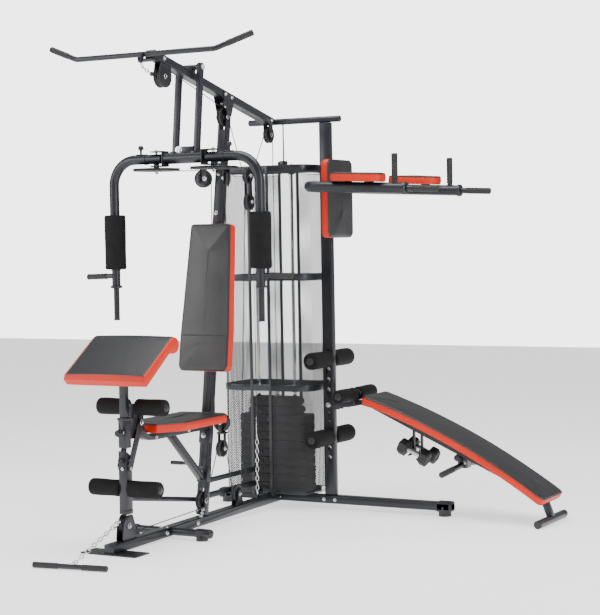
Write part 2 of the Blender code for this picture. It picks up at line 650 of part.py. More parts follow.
def fly_arm(side):
    word = "left" if side < 0 else "right"
    x, pin = side * ARM_X, side * ARM_PIVOT_X
    corners = [(side * 0.118, ARM_Y, ARM_Z), (x, ARM_Y, ARM_Z), (x, ARM_Y, FOAM_FOOT - 0.003)]
    arm = pipe(word + "_fly_arm", bent(corners, ARM_BEND, 6), ARM_R, "steel")
    tools = [rod("neck", (x, ARM_Y, FOAM_FOOT + 0.01), (x, ARM_Y, FLANGE_Z), 0.019),
             rod("flange", (x, ARM_Y, FLANGE_Z + 0.006), (x, ARM_Y, FLANGE_Z - 0.006), 0.026),
             rod("grip", (x, ARM_Y, FLANGE_Z), (x, ARM_Y, GRIP_FOOT), GRIP_R, sides=16),
             rod("stub", (x, ARM_Y, 1.136), (x + side * 0.158, ARM_Y, 1.130), 0.0125, sides=16),
             rod("hub", (pin, ARM_Y, CAM_Z), (pin, ARM_Y, 1.655), 0.0125)]
    rim, floor, half = CAM_R, CAM_R - 0.0065, CAM_HALF
    cam = [(0, half), (rim, half), (rim, half * 0.56), (floor, half * 0.5), (floor, -half * 0.5),
           (rim, -half * 0.56), (rim, -half), (0, -half)]
    tools.append(turned("cam", cam, (pin, ARM_Y, CAM_Z), (0, 0, 1), steps=28))
    arm = join(arm, *tools)
    return cut(arm, rod("arm_bore", (pin, ARM_Y, 1.60), (pin, ARM_Y, 1.72), 0.006 + BORE_GAP, sides=16))


def fly_foam(side):
    word = "left" if side < 0 else "right"
    half, soft, bore = (FOAM_TOP - FOAM_FOOT) / 2, 0.006, ARM_R + GAP
    profile = [(bore, half), (FOAM_R - soft, half), (FOAM_R, half - soft), (FOAM_R, soft - half),
               (FOAM_R - soft, -half), (bore, -half)]
    at = (side * ARM_X, ARM_Y, (FOAM_TOP + FOAM_FOOT) / 2)
    return turned(word + "_fly_foam", profile, at, (0, 0, 1), "foam", steps=24, closed=True)


def lat_bar():
    tip = [(s * LAT_TIP[0], LAT_BAR_Y + LAT_TIP[1], LAT_BAR_Z + LAT_TIP[2]) for s in (-1, 1)]
    bend = [(s * LAT_BEND_X, LAT_BAR_Y, LAT_BAR_Z) for s in (-1, 1)]
    bar = pipe("lat_bar", bent([tip[0], bend[0], bend[1], tip[1]], 0.060, 4), LAT_BAR_R, "steel")
    outline = [(0.300, 2.100), (0.278, 2.100), (0.262, 2.068), (0.266, 2.058), (0.276, 2.058)]
    return join(bar, plate("lug", [outline], 0.006, (0, 0, 0), "x"))


def low_bar():
    turn = Matrix.Rotation(LOW_BAR_TURN, 3, 'Z')
    reach = turn @ Vector((LOW_BAR_HALF, 0, 0))
    middle = Vector(LOW_BAR_AT)
    bar = rod("low_bar", middle - reach, middle + reach, LOW_BAR_AT[2], "steel")
    chain = rod("chain", LOW_EYE, LOW_HOOK, 0.004, sides=10)
    return join(bar, chain)


# ---- weight stack and shroud ----

def stack_drills(low, high, selector=SELECTOR_R + 0.0015):
    drills = [rod("guide_drill", (x, REAR_Y, low), (x, REAR_Y, high), GUIDE_R + 0.0015, sides=10)
              for x in (-GUIDE_X, GUIDE_X)]
    if selector:
        drills.append(rod("selector_drill", (0, REAR_Y, low), (0, REAR_Y, high), selector, sides=10))
    return drills


def weight_plate(number):
    """Plate 1 is the top one; each has guide holes, a selector bore and a pin slot."""
    foot = PLATE_FOOT + (PLATES - number) * PLATE_PITCH
    half_w, half_d = PLATE_W / 2, PLATE_D / 2
    outline = rounded_box((-half_w, REAR_Y - half_d), (half_w, REAR_Y + half_d), PLATE_ROUND, 2)
    thick = PLATE_PITCH - GAP
    slab = plate(f"weight_plate_{number}", [outline], thick, (0, 0, foot + thick / 2), "z", "weight")
    slot = span("pin_slot", (-0.0065, REAR_Y - 0.10, foot + 0.014), (0.0065, REAR_Y, foot + 0.027))
    return cut(slab, slot, *stack_drills(foot - 0.02, foot + 0.07))


def weight_head():
    half_w, half_d = HEAD_W / 2, PLATE_D / 2
    outline = rounded_box((-half_w, REAR_Y - half_d), (half_w, REAR_Y + half_d), PLATE_ROUND, 3)
    foot = STACK_TOP
    head = plate("weight_head", [outline], HEAD_H, (0, 0, foot + HEAD_H / 2), "z", "weight")
    head = cut(head, *stack_drills(foot - 0.05, foot + 0.15, None))
    stem = rod("selector_rod", (0, REAR_Y, PLATE_FOOT + 0.004), (0, REAR_Y, foot + HEAD_H + 0.030),
               SELECTOR_R, sides=12)
    head = join(head, stem)
    pins = []
    for number in range(1, PLATES + 1):
        z = PLATE_FOOT + (PLATES - number) * PLATE_PITCH + 0.0205
        pins.append(rod("pin_hole", (0, REAR_Y - 0.05, z), (0, REAR_Y + 0.05, z), 0.0054, sides=6))
    return cut(head, *pins)


def selector_pin():
    z = PLATE_FOOT + (PLATES - 1) * PLATE_PITCH + 0.0205
    front = REAR_Y - PLATE_D / 2
    pin = rod("selector_pin", (0, front - 0.022, z), (0, REAR_Y + 0.008, z), 0.0040, "chrome", sides=12)
    return join(pin, rod("pin_knob", (0, front - 0.024, z), (0, front - 0.002, z), 0.010, sides=16))


def guide_frame():
    """Crossbar, two guide rods and the tray under the stack."""
    beam = span("guide_frame", (SHROUD_X[0] + 0.006, REAR_Y - 0.015, CROSSBAR_Z - 0.016),
                (SHROUD_X[1] - 0.006, REAR_Y + 0.015, CROSSBAR_Z + 0.016), "steel", 0.003)
    beam = cut(beam, rod("cable_hole", (0, REAR_Y, 1.60), (0, REAR_Y, 1.67), 0.008, sides=14))
    tools = [span("stack_tray", (-0.190, 1.318, 0.0655), (0.190, 1.470, 0.073), soften=0.0015)]
    for x in (-GUIDE_X, GUIDE_X):
        tools.append(rod("rod", (x, REAR_Y, 0.070), (x, REAR_Y, CROSSBAR_Z), GUIDE_R, sides=14))
        tools.append(rod("bumper", (x, REAR_Y, 0.070), (x, REAR_Y, PLATE_FOOT - GAP), 0.020))
    return join(beam, *tools)


def shroud_frame():
    (x0, x1), (y0, y1) = SHROUD_X, SHROUD_Y
    inner = rounded_box((x0 + HOOP_THICK, y0 + HOOP_THICK), (x1 - HOOP_THICK, y1 - HOOP_THICK),
                        SHROUD_ROUND - HOOP_THICK, 5)
    rings = [plate("shroud_frame" if z == HOOPS[0] else "hoop",
                   [rounded_box((x0, y0), (x1, y1), SHROUD_ROUND, 5), inner], HOOP_HEIGHT, (0, 0, z), "z",
                   "steel" if z == HOOPS[0] else None) for z in HOOPS]
    stays = []
    for x in (SLOT_LEFT, SLOT_RIGHT):
        for y in (y0 + 0.0015, y1 - 0.0015):
            stays.append(span("stay", (x - 0.008, y - 0.002, 0.0670), (x + 0.008, y + 0.002, 1.646)))
    for x in (SLOT_LEFT, SLOT_RIGHT):
        stays.append(span("sill", (x - 0.008, y0 - 0.0005, 0.0670), (x + 0.008, 1.3172, 0.0710)))
        stays.append(span("rear_sill", (x - 0.008, 1.4705 + GAP * 2, 0.0670), (x + 0.008, y1 + 0.0005, 0.0710)))
    return join(rings[0], *rings[1:], *stays)


def shroud_panel(side):
    """A curtain that wraps one side of the stack, from the front slot to the rear one."""
    inset = HOOP_THICK + 0.002
    (x0, x1), (y0, y1) = SHROUD_X, SHROUD_Y
    x0, x1, y0, y1 = x0 + inset, x1 - inset, y0 + inset, y1 - inset
    radius = SHROUD_ROUND - inset
    if side < 0:
        path = [(SLOT_LEFT, y1)] + arc((x0 + radius, y1 - radius), radius, 90, 180, 5)
        path += arc((x0 + radius, y0 + radius), radius, 180, 270, 5) + [(SLOT_LEFT, y0)]
    else:
        path = [(SLOT_RIGHT, y0)] + arc((x1 - radius, y0 + radius), radius, -90, 0, 5)
        path += arc((x1 - radius, y1 - radius), radius, 0, 90, 5) + [(SLOT_RIGHT, y1)]
    name = "shroud_left" if side < 0 else "shroud_right"
    return plate(name, [strip(path, PANEL_THICK)], PANEL_TOP - PANEL_FOOT, (0, 0, (PANEL_TOP + PANEL_FOOT) / 2),
                 "z", "mesh")


# ---- dip station ----

def dip_height(x):
    return DIP_Z - DIP_DROP * (x - DIP_ROOT_X)


def dip_frame():
    bars = []
    for y, inward in ((DIP_NEAR, 1), (DIP_FAR, -1)):
        root_y = y + inward * 0.147
        route = bent([(DIP_ROOT_X, root_y, DIP_Z), (DIP_ROOT_X, y, DIP_Z), (DIP_END_X, y, dip_height(DIP_END_X))],
                     0.045, 6)
        bars.append(pipe("dip_frame" if inward > 0 else "far_bar", route, DIP_R, "steel" if inward > 0 else None))
        end, tip = dip_height(DIP_END_X), dip_height(DIP_TIP_X)
        bars.append(rod("tip", (DIP_END_X - 0.02, y, end), (DIP_TIP_X, y, tip), DIP_TIP_R, sides=16))
        bars.append(rod("collar", (DIP_END_X - 0.012, y, end), (DIP_END_X + 0.006, y, end), 0.029))
        bars.append(rod("upright_grip", (0.798, y, 1.515), (0.798, y, 1.672), 0.0145, sides=16))
    bars.append(span("cross_plate", (0.3215 + GAP, 1.205, 1.512), (0.3300, 1.583, 1.562)))
    return join(bars[0], *bars[1:])


def dip_back_pad():
    outline = rounded_box((1.253, 1.300), (1.505, 1.668), 0.030)
    return plate("dip_back_pad", [outline], 0.047, (0.3590, 0, 0), "x", "vinyl")


def dip_arm_pad(name, y):
    x0, x1 = 0.480, 0.745
    outline = rounded_box((x0 - 0.6125, -0.056), (x1 - 0.6125, 0.056), 0.050, 4)
    tilt = math.atan(DIP_DROP)
    middle = dip_height(0.6125) + DIP_R + 0.0012 + 0.0235
    return plate(name, [outline], 0.047, (0.6125, y, middle), kind="vinyl", turn=(0, tilt, 0))


def post_rollers(name, z):
    return roller_set(name, (DIP_POST_X, REAR_Y, z), (0, 1, 0), POST_ROLLER_HALF, DIP_POST_D / 2 + 0.004,
                      POST_ROLLER_R)


# ---- sit-up bench ----

def bench_arc(offset, start, end, steps):
    """Points on the bench's long curve, offset outwards from the pad's top face."""
    head, foot = Vector(BENCH_HEAD), Vector(BENCH_FOOT)
    chord = foot - head
    radius = chord.length ** 2 / (8 * BENCH_RISE) + BENCH_RISE / 2
    down = Vector((chord.y, -chord.x)).normalized()
    centre = (head + foot) / 2 + down * (radius - BENCH_RISE)
    first = math.atan2(head.y - centre.y, head.x - centre.x)
    last = math.atan2(foot.y - centre.y, foot.x - centre.x)
    turns = [first + (last - first) * (start + (end - start) * i / steps) for i in range(steps + 1)]
    reach = radius + offset
    return [(centre.x + reach * math.cos(t), centre.y + reach * math.sin(t)) for t in turns]


def bench_pad():
    over = bench_arc(0, 0, 1, 12)
    under = bench_arc(-BENCH_PAD_T, 0, 1, 12)
    return plate("bench_pad", [under + over[::-1]], 2 * BENCH_HALF, (0, REAR_Y, 0), "y", "vinyl")


def bench_frame():
    rail_mid = -BENCH_PAD_T - GAP * 2 - BENCH_RAIL_T / 2
    path = [(0.3435, 0.500), (0.400, 0.505), (0.470, 0.518)] + bench_arc(rail_mid, 0.06, 0.985, 10)
    path += [(BENCH_BAR[0], 0.030)]
    frame = plate("bench_frame", [strip(path, BENCH_RAIL_T)], 0.040, (0, REAR_Y, 0), "y", "steel")
    tools = [rod("floor_bar", (BENCH_BAR[0], REAR_Y - 0.173, BENCH_BAR[1]),
                 (BENCH_BAR[0], REAR_Y + 0.173, BENCH_BAR[1]), BENCH_BAR[1] - GAP)]
    pin_x, pin_z = BENCH_PIN
    for side in (-1, 1):
        low, high = sorted((REAR_Y + side * 0.0155, REAR_Y + side * 0.0205))
        tools.append(span("ear", (pin_x - 0.016, low, pin_z - 0.020), (0.352, high, pin_z + 0.020)))
    tools.append(rod("bench_pin", (pin_x, REAR_Y - 0.026, pin_z), (pin_x, REAR_Y + 0.026, pin_z), 0.006,
                     sides=14))
    roller_x, roller_z = BENCH_ROLLER
    tools.append(span("roller_post", (roller_x - 0.014, REAR_Y - 0.014, 0.500),
                      (roller_x + 0.014, REAR_Y + 0.014, roller_z + 0.013)))
    tools.append(roller_set("bench_rollers", (roller_x, REAR_Y, roller_z), (0, 1, 0), 0.180, 0.020, 0.031,
                            None))
    tools += dumbbell_rack()
    tools.append(span("clamp", (CLAMP_X - 0.022, REAR_Y - 0.026, 0.231),
                      (CLAMP_X + 0.022, REAR_Y + 0.026, 0.310)))
    x, z = CLAMP_X - 0.010, 0.282
    tools.append(rod("clamp_stem", (x, REAR_Y - 0.05, z), (x, REAR_Y, z), 0.005, sides=12))
    tools.append(rod("clamp_knob", (x, REAR_Y - 0.064, z), (x, REAR_Y - 0.044, z), 0.015, sides=16))
    for side in (-1, 1):
        tools.append(rod("bench_grip", (CLAMP_X, REAR_Y, 0.247), (CLAMP_X, REAR_Y + side * 0.262, 0.230),
                         0.0125, sides=16))
    return join(frame, *tools)


def dumbbell_axis():
    tilt = math.radians(DUMBBELL_TILT)
    return Vector((math.cos(tilt), 0, -math.sin(tilt)))


def dumbbell_rack():
    """Two straps under the rail, each with a cross peg that carries both handles."""
    tools = []
    middle_y = sum(DUMBBELL_Y) / 2
    for step in (-0.022, 0.022):
        along = dumbbell_axis() * step
        x, z = DUMBBELL_AT[0] + along.x, DUMBBELL_AT[1] + along.z - 0.0202
        tools.append(span("strap", (x - 0.0035, middle_y - 0.014, z - 0.005),
                          (x + 0.0035, middle_y + 0.004, 0.425 + along.z)))
        tools.append(rod("peg", (x, DUMBBELL_Y[0] - 0.016, z), (x, DUMBBELL_Y[1] + 0.016, z), 0.005,
                         sides=10))
    return tools


def dumbbell(name, y):
    """A hexagonal pair of heads on a round handle."""
    along = dumbbell_axis()
    middle = Vector((DUMBBELL_AT[0], y, DUMBBELL_AT[1]))
    bar = rod(name, middle - along * 0.070, middle + along * 0.070, 0.0125, "weight", sides=14)
    heads = [rod("head", middle + along * s * 0.036, middle + along * s * 0.080, 0.041, sides=6)
             for s in (-1, 1)]
    return join(bar, *heads)


# ---- cables ----

def tangent(a, ra, b, rb):
    """Where a straight run leaves circle a and meets circle b; a negative radius
    means that the run passes that circle on its right-hand side."""
    ax, ay, bx, by = *a, *b
    away = math.atan2(by - ay, bx - ax)
    offset = math.acos((ra - rb) / math.hypot(bx - ax, by - ay))
    turn = away + offset
    return ((ax + ra * math.cos(turn), ay + ra * math.sin(turn)),
            (bx + rb * math.cos(turn), by + rb * math.sin(turn)))


def wrap(wheels, start, end, steps=6):
    """A cable's route round wheels of (centre, radius); a positive radius passes
    clockwise over the wheel, a negative one anticlockwise under it."""
    stops = [(start, 0.0)] + wheels + [(end, 0.0)]
    runs = [tangent(a, ra, b, rb) for (a, ra), (b, rb) in zip(stops, stops[1:])]
    route = [start]
    for (centre, radius), arriving, leaving in zip(wheels, runs, runs[1:]):
        first = math.atan2(arriving[1][1] - centre[1], arriving[1][0] - centre[0])
        last = math.atan2(leaving[0][1] - centre[1], leaving[0][0] - centre[0])
        sweep = (last - first) % math.tau
        if radius > 0:
            sweep -= math.tau
        size = abs(radius)
        route += [(centre[0] + size * math.cos(first + sweep * i / steps),
                   centre[1] + size * math.sin(first + sweep * i / steps)) for i in range(steps + 1)]
    return route + [end]


def in_plane(route, x=0.0):
    return [(x, y, z) for y, z in route]


def lat_cable():
    big, small = PULLEY_R + 0.003 - RIDE, SMALL_R - RIDE
    wheels = [(LAT_PULLEY, big), (UPPER_SLOT, PULLEY_R - RIDE), (BLOCK_A_TOP, -(0.038 - RIDE)), (REAR_TOP, small)]
    start = (0.350, 2.016)
    end = (REAR_Y, STACK_TOP + HEAD_H + 0.0305)
    return pipe("lat_cable", in_plane(wrap(wheels, start, end)), CABLE_R, "cable", 2)


def low_cable():
    small = SMALL_R - RIDE
    wheels = [(LOW_PULLEY, -small), (LOWER_SLOT, -small), (BLOCK_B_LOW, 0.040 - RIDE), (REAR_LOW, -small),
              (BLOCK_A_LOW, 0.040 - RIDE)]
    route = wrap(wheels, (LOW_HOOK[1] + 0.006, LOW_HOOK[2] + 0.006), (1.1915, CHAIN_TOP_Z))
    return pipe("low_cable", in_plane(route + [(1.186, CHAIN_FOOT_Z)]), CABLE_R, "cable", 2)


def press_cable():
    """From cam to cam, over both press pulleys and under floating block B."""
    ride = SMALL_R - RIDE
    leave, heading = press_run()
    first = math.degrees(math.atan2(leave.y - ARM_Y, leave.x + ARM_PIVOT_X))
    half = [(x, y, CAM_Z) for x, y in arc((-ARM_PIVOT_X, ARM_Y), CAM_GROOVE, first + 60, first, 5)]
    half += [(-PRESS_X + heading.x * out, PRESS_Y + heading.y * out, z)
             for out, z in arc((0, PRESS_Z), ride, 90, 0, 5)]
    under = [(x, BLOCK_B_TOP[0], z) for x, z in arc((0, BLOCK_B_TOP[1]), 0.042 - RIDE, 180, 270, 4)]
    left = half + under
    right = [(-x, y, z) for x, y, z in reversed(left[:-1])]
    return pipe("press_cable", left + right, CABLE_R, "cable", 2)


def floating_block(name, top, low, twist):
    """Two pulleys between one pair of straps; the top one may face along Y."""
    (ty, tz), (ly, lz) = top, low
    big, small = (0.042, 0.040) if twist else (0.038, 0.040)
    half = [(0, 0.0100), (1, 0.0100), (1, 0.0062), (-1, 0.0034)]     # hub, rim, rim, groove floor
    wheel = half + [(k, -h) for k, h in reversed(half)]

    def disc(radius):
        return [((radius if k > 0 else radius - GROOVE) if k else 0, h) for k, h in wheel]

    lower = turned(name, disc(small), (0, ly, lz), (1, 0, 0), "black", steps=16)
    upper = turned("upper_wheel", disc(big), (0, ty, tz), (0, 1, 0) if twist else (1, 0, 0), steps=16)
    tools = [upper] + [rod("axle", (-0.020, ly, lz), (0.020, ly, lz), 0.006, sides=12)]
    join_z = tz - big - 0.006 if twist else tz
    for side in (-0.0150, 0.0150):
        tools.append(rail("strap", (side, ly, lz - 0.014), (side, ty, join_z + (0.006 if twist else 0.014)),
                          0.004, 0.020, soften=0))
    if twist:
        tools.append(span("swivel", (-0.019, ty - 0.019, join_z - 0.004), (0.019, ty + 0.019, join_z + 0.003)))
        for side in (-0.0150, 0.0150):
            tools.append(span("upper_strap", (-0.010, ty + side - 0.002, join_z - 0.002),
                              (0.010, ty + side + 0.002, tz + 0.014)))
        tools.append(rod("upper_axle", (0, ty - 0.020, tz), (0, ty + 0.020, tz), 0.006, sides=12))
    else:
        tools.append(rod("upper_axle", (-0.020, ty, tz), (0.020, ty, tz), 0.006, sides=12))
    return join(lower, *tools)


# ---- the whole machine ----

def build():
    base_beam(), front_stabilizer(), rear_stabilizer(), main_upright(), top_beam(), pull_up_bar(), dip_post()
    seat_frame(), seat_pad(), backrest_pad(), leg_stop_bar(), rear_low_brace()
    guide_frame(), shroud_frame(), shroud_panel(-1), shroud_panel(1)
    dip_frame(), dip_back_pad(), dip_arm_pad("dip_pad_near", DIP_NEAR), dip_arm_pad("dip_pad_far", DIP_FAR)
    post_rollers("post_rollers_upper", POST_ROLLERS[0]), post_rollers("post_rollers_lower", POST_ROLLERS[1])
    lat_cable(), low_cable(), press_cable()
    floating_block("floating_block_upper", BLOCK_A_TOP, BLOCK_A_LOW, False)
    floating_block("floating_block_lower", BLOCK_B_TOP, BLOCK_B_LOW, True)
    for number in range(2, PLATES + 1):
        weight_plate(number)

    wheels = {"lat_pulley": (LAT_PULLEY, PULLEY_R + 0.003), "upper_slot_pulley": (UPPER_SLOT, PULLEY_R),
              "rear_top_pulley": (REAR_TOP, SMALL_R), "low_pulley": (LOW_PULLEY, SMALL_R),
              "lower_slot_pulley": (LOWER_SLOT, SMALL_R), "rear_low_pulley": (REAR_LOW, SMALL_R)}
    for name, ((y, z), radius) in wheels.items():
        hang(joint(name + "_axis", (0, y, z)), pulley(name, (0, y, z), radius))
    for side, word in ((-1, "left"), (1, "right")):
        centre, across = press_wheel(side)
        name = f"press_pulley_{word}"
        hang(joint(name + "_axis", centre), pulley(name, centre, SMALL_R, across))

    carriage = joint("weight_carriage", (0, REAR_Y, STACK_TOP))
    hang(carriage, weight_plate(1), weight_head(), selector_pin())
    swing = joint("press_swing", (0, SWING_Y, SWING_Z))
    hang(swing, press_frame())
    for side, word in ((-1, "left"), (1, "right")):
        arm = joint(f"{word}_arm_axis", (side * ARM_PIVOT_X, ARM_Y, ARM_Z))
        hang(arm, fly_arm(side), fly_foam(side))
        hang(swing, arm)
    hang(joint("lat_bar_rest", (0, LAT_BAR_Y, LAT_BAR_Z)), lat_bar())
    hang(joint("low_bar_rest", LOW_BAR_AT), low_bar())
    hang(joint("leg_axis", (0, *LEG_PIVOT)), leg_lever())
    hang(joint("preacher_rest", (0, SOCKET_Y, 0.558)), preacher_post(), preacher_pad())
    bench = joint("bench_axis", (BENCH_PIN[0], REAR_Y, BENCH_PIN[1]))
    hang(bench, bench_frame(), bench_pad())
    for name, y in zip(("dumbbell_near", "dumbbell_far"), DUMBBELL_Y):
        seat = joint(name + "_rest", (DUMBBELL_AT[0], y, DUMBBELL_AT[1]))
        hang(seat, dumbbell(name, y))
        hang(bench, seat)


clear_scene()
PARTS = new_collection("multi_station_home_gym")
TOOLS = new_collection("cutters")
build()
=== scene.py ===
"""Looks of the multi station home gym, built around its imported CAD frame."""
import json
import math

import bmesh
import bpy
from mathutils import Matrix, Vector

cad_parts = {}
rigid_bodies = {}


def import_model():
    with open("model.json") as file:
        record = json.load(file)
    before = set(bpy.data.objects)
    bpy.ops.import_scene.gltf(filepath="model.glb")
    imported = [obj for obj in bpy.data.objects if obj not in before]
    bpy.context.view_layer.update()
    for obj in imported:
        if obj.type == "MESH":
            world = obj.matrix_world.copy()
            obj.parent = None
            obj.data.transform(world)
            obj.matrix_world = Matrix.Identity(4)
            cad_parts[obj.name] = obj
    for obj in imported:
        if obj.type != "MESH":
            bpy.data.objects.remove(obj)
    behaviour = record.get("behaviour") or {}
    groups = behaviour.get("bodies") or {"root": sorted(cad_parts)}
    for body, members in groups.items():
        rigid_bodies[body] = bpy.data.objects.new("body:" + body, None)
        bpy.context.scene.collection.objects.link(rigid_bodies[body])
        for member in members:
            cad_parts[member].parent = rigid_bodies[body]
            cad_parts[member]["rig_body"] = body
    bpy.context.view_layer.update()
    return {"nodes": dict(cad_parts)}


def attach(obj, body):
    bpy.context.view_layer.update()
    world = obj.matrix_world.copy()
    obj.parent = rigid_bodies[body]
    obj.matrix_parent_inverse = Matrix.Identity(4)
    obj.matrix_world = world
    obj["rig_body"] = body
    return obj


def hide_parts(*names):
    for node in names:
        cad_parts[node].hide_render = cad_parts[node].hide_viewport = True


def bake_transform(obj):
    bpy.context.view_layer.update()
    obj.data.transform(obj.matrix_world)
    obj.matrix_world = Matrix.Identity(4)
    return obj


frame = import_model()
SHAPES = bpy.context.scene.collection
SIDES = ((-1, "left"), (1, "right"))


# ---- materials ----

class Nodes:
    """A small helper that wires one material's node tree."""

    def __init__(self, name):
        self.material = bpy.data.materials.new(name)
        self.material.use_nodes = True
        self.tree = self.material.node_tree
        self.shader = self.tree.nodes["Principled BSDF"]
        self.place = self.add("ShaderNodeTexCoord").outputs["Object"]

    def add(self, kind, **values):
        node = self.tree.nodes.new(kind)
        for key, value in values.items():
            if key in node.inputs:
                node.inputs[key].default_value = value
            else:
                setattr(node, key, value)
        return node

    def link(self, source, target):
        self.tree.links.new(source, target)

    def noise(self, scale, detail=3.0, rough=0.5, stretch=None):
        node = self.add("ShaderNodeTexNoise", Scale=scale, Detail=detail, Roughness=rough)
        source = self.place
        if stretch:
            mapping = self.add("ShaderNodeMapping")
            mapping.inputs["Scale"].default_value = stretch
            self.link(source, mapping.inputs["Vector"])
            source = mapping.outputs["Vector"]
        self.link(source, node.inputs["Vector"])
        return node.outputs["Fac"]

    def cells(self, scale):
        node = self.add("ShaderNodeTexVoronoi", Scale=scale, feature="DISTANCE_TO_EDGE")
        self.link(self.place, node.inputs["Vector"])
        return node.outputs["Distance"]

    def ramp(self, source, stops):
        node = self.add("ShaderNodeValToRGB")
        ramp = node.color_ramp
        while len(ramp.elements) < len(stops):
            ramp.elements.new(0.5)
        for element, (at, colour) in zip(ramp.elements, stops):
            element.position = at
            element.color = (*colour, 1.0)
        self.link(source, node.inputs["Fac"])
        return node.outputs["Color"]

    def tones(self, source, colour, dark, pale, low=0.3, high=0.7):
        return self.ramp(source, [(low, shade(colour, dark)), (high, shade(colour, pale))])

    def range(self, source, low, high, to_low, to_high):
        node = self.add("ShaderNodeMapRange")
        for key, value in (("From Min", low), ("From Max", high), ("To Min", to_low), ("To Max", to_high)):
            node.inputs[key].default_value = value
        self.link(source, node.inputs["Value"])
        return node.outputs["Result"]

    def bump(self, source, strength, distance, under=None):
        node = self.add("ShaderNodeBump", Strength=strength, Distance=distance)
        self.link(source, node.inputs["Height"])
        if under:
            self.link(under, node.inputs["Normal"])
        return node.outputs["Normal"]

    def done(self, colour=None, rough=None, normal=None, **values):
        for key, value in values.items():
            self.shader.inputs[key.replace("_", " ")].default_value = value
        for source, key in ((colour, "Base Color"), (rough, "Roughness"), (normal, "Normal")):
            if source is not None:
                self.link(source, self.shader.inputs[key])
        return self.material


def shade(colour, factor):
    """The colour made darker or paler."""
    return tuple(min(1.0, c * factor) for c in colour)


def powder_coat(name, colour, rough=0.36, metal=0.3):
    """Baked powder coat: a faint orange peel, handling haze and paler worn edges."""
    n = Nodes(name)
    haze = n.noise(9.0, 4.0)
    edges = n.add("ShaderNodeNewGeometry").outputs["Pointiness"]
    base = n.tones(haze, colour, 0.9, 1.14, 0.35)
    worn = n.range(edges, 0.515, 0.56, 0.0, 0.45)
    mix = n.add("ShaderNodeMix", data_type='RGBA')
    factor, plain, pale = mix.inputs[0], mix.inputs[6], mix.inputs[7]     # its colour sockets
    n.link(worn, factor)
    n.link(base, plain)
    pale.default_value = (*shade(colour, 2.1), 1.0)
    peel = n.bump(n.noise(1500.0, 1.0), 0.1, 0.0004)
    return n.done(mix.outputs[2], n.range(haze, 0.3, 0.7, rough - 0.06, rough + 0.08), peel,
                  Metallic=metal, Coat_Weight=0.12, Coat_Roughness=0.25)


def vinyl(name, colour, rough=0.4, gloss=0.65):
    """Embossed upholstery vinyl: pebbled grain over slow waves of the foam below."""
    n = Nodes(name)
    tone = n.noise(6.0, 2.0)
    grain = n.cells(620.0)
    waves = n.bump(n.noise(16.0, 2.0), 0.2, 0.004)
    pebble = n.bump(grain, 0.35, 0.0005, waves)
    base = n.tones(tone, colour, 0.92, 1.08)
    return n.done(base, n.range(grain, 0.0, 0.3, rough + 0.1, rough - 0.05), pebble,
                  Specular_IOR_Level=gloss)


def foam_rubber(name):
    """Closed-cell foam with its fine skin texture."""
    n = Nodes(name)
    tone = n.noise(26.0, 4.0)
    skin = n.noise(900.0, 3.0, 0.7)
    base = n.ramp(tone, [(0.3, (0.005, 0.005, 0.0053)), (0.75, (0.0092, 0.0092, 0.0097))])
    dents = n.bump(n.noise(30.0, 2.0), 0.2, 0.002)
    return n.done(base, n.range(skin, 0.3, 0.7, 0.68, 0.86), n.bump(skin, 0.5, 0.0008, dents),
                  Specular_IOR_Level=0.22)


def moulded(name, colour, rough=0.48, scale=420.0):
    """Moulded plastic with a spark-eroded skin."""
    n = Nodes(name)
    tone = n.noise(30.0, 3.0)
    base = n.tones(tone, colour, 0.9, 1.12)
    return n.done(base, n.range(tone, 0.3, 0.7, rough - 0.05, rough + 0.07),
                  n.bump(n.noise(scale, 3.0), 0.25, 0.0006))


def cast_weight(name):
    """Cement-filled plate: a rough blow-moulded shell with pale scuffs."""
    n = Nodes(name)
    pits = n.noise(240.0, 5.0, 0.7)
    scuffs = n.noise(38.0, 6.0, 0.65)
    base = n.ramp(scuffs, [(0.4, (0.0125, 0.0125, 0.0135)), (0.66, (0.022, 0.022, 0.024)),
                           (0.8, (0.055, 0.055, 0.058))])
    return n.done(base, n.range(pits, 0.3, 0.7, 0.5, 0.78), n.bump(pits, 0.65, 0.0015))


def bright(name, colour=(0.8, 0.81, 0.82), rough=0.13):
    """Plated steel with faint polishing lines."""
    n = Nodes(name)
    lines = n.noise(60.0, 4.0, 0.6, stretch=(1.0, 1.0, 14.0))
    base = n.tones(lines, colour, 0.9, 1.0)
    return n.done(base, n.range(lines, 0.3, 0.7, rough - 0.04, rough + 0.1), n.bump(lines, 0.04, 0.0003),
                  Metallic=1.0)


def floor_paint(name):
    """Matt white paint that glows a little, so that the ground stays pale."""
    n = Nodes(name)
    tone = n.noise(1.5, 2.0)
    base = n.ramp(tone, [(0.3, (0.93, 0.93, 0.93)), (0.7, (0.955, 0.955, 0.955))])
    return n.done(base, Roughness=0.62, Emission_Color=(1.0, 1.0, 1.0, 1.0), Emission_Strength=1.0)


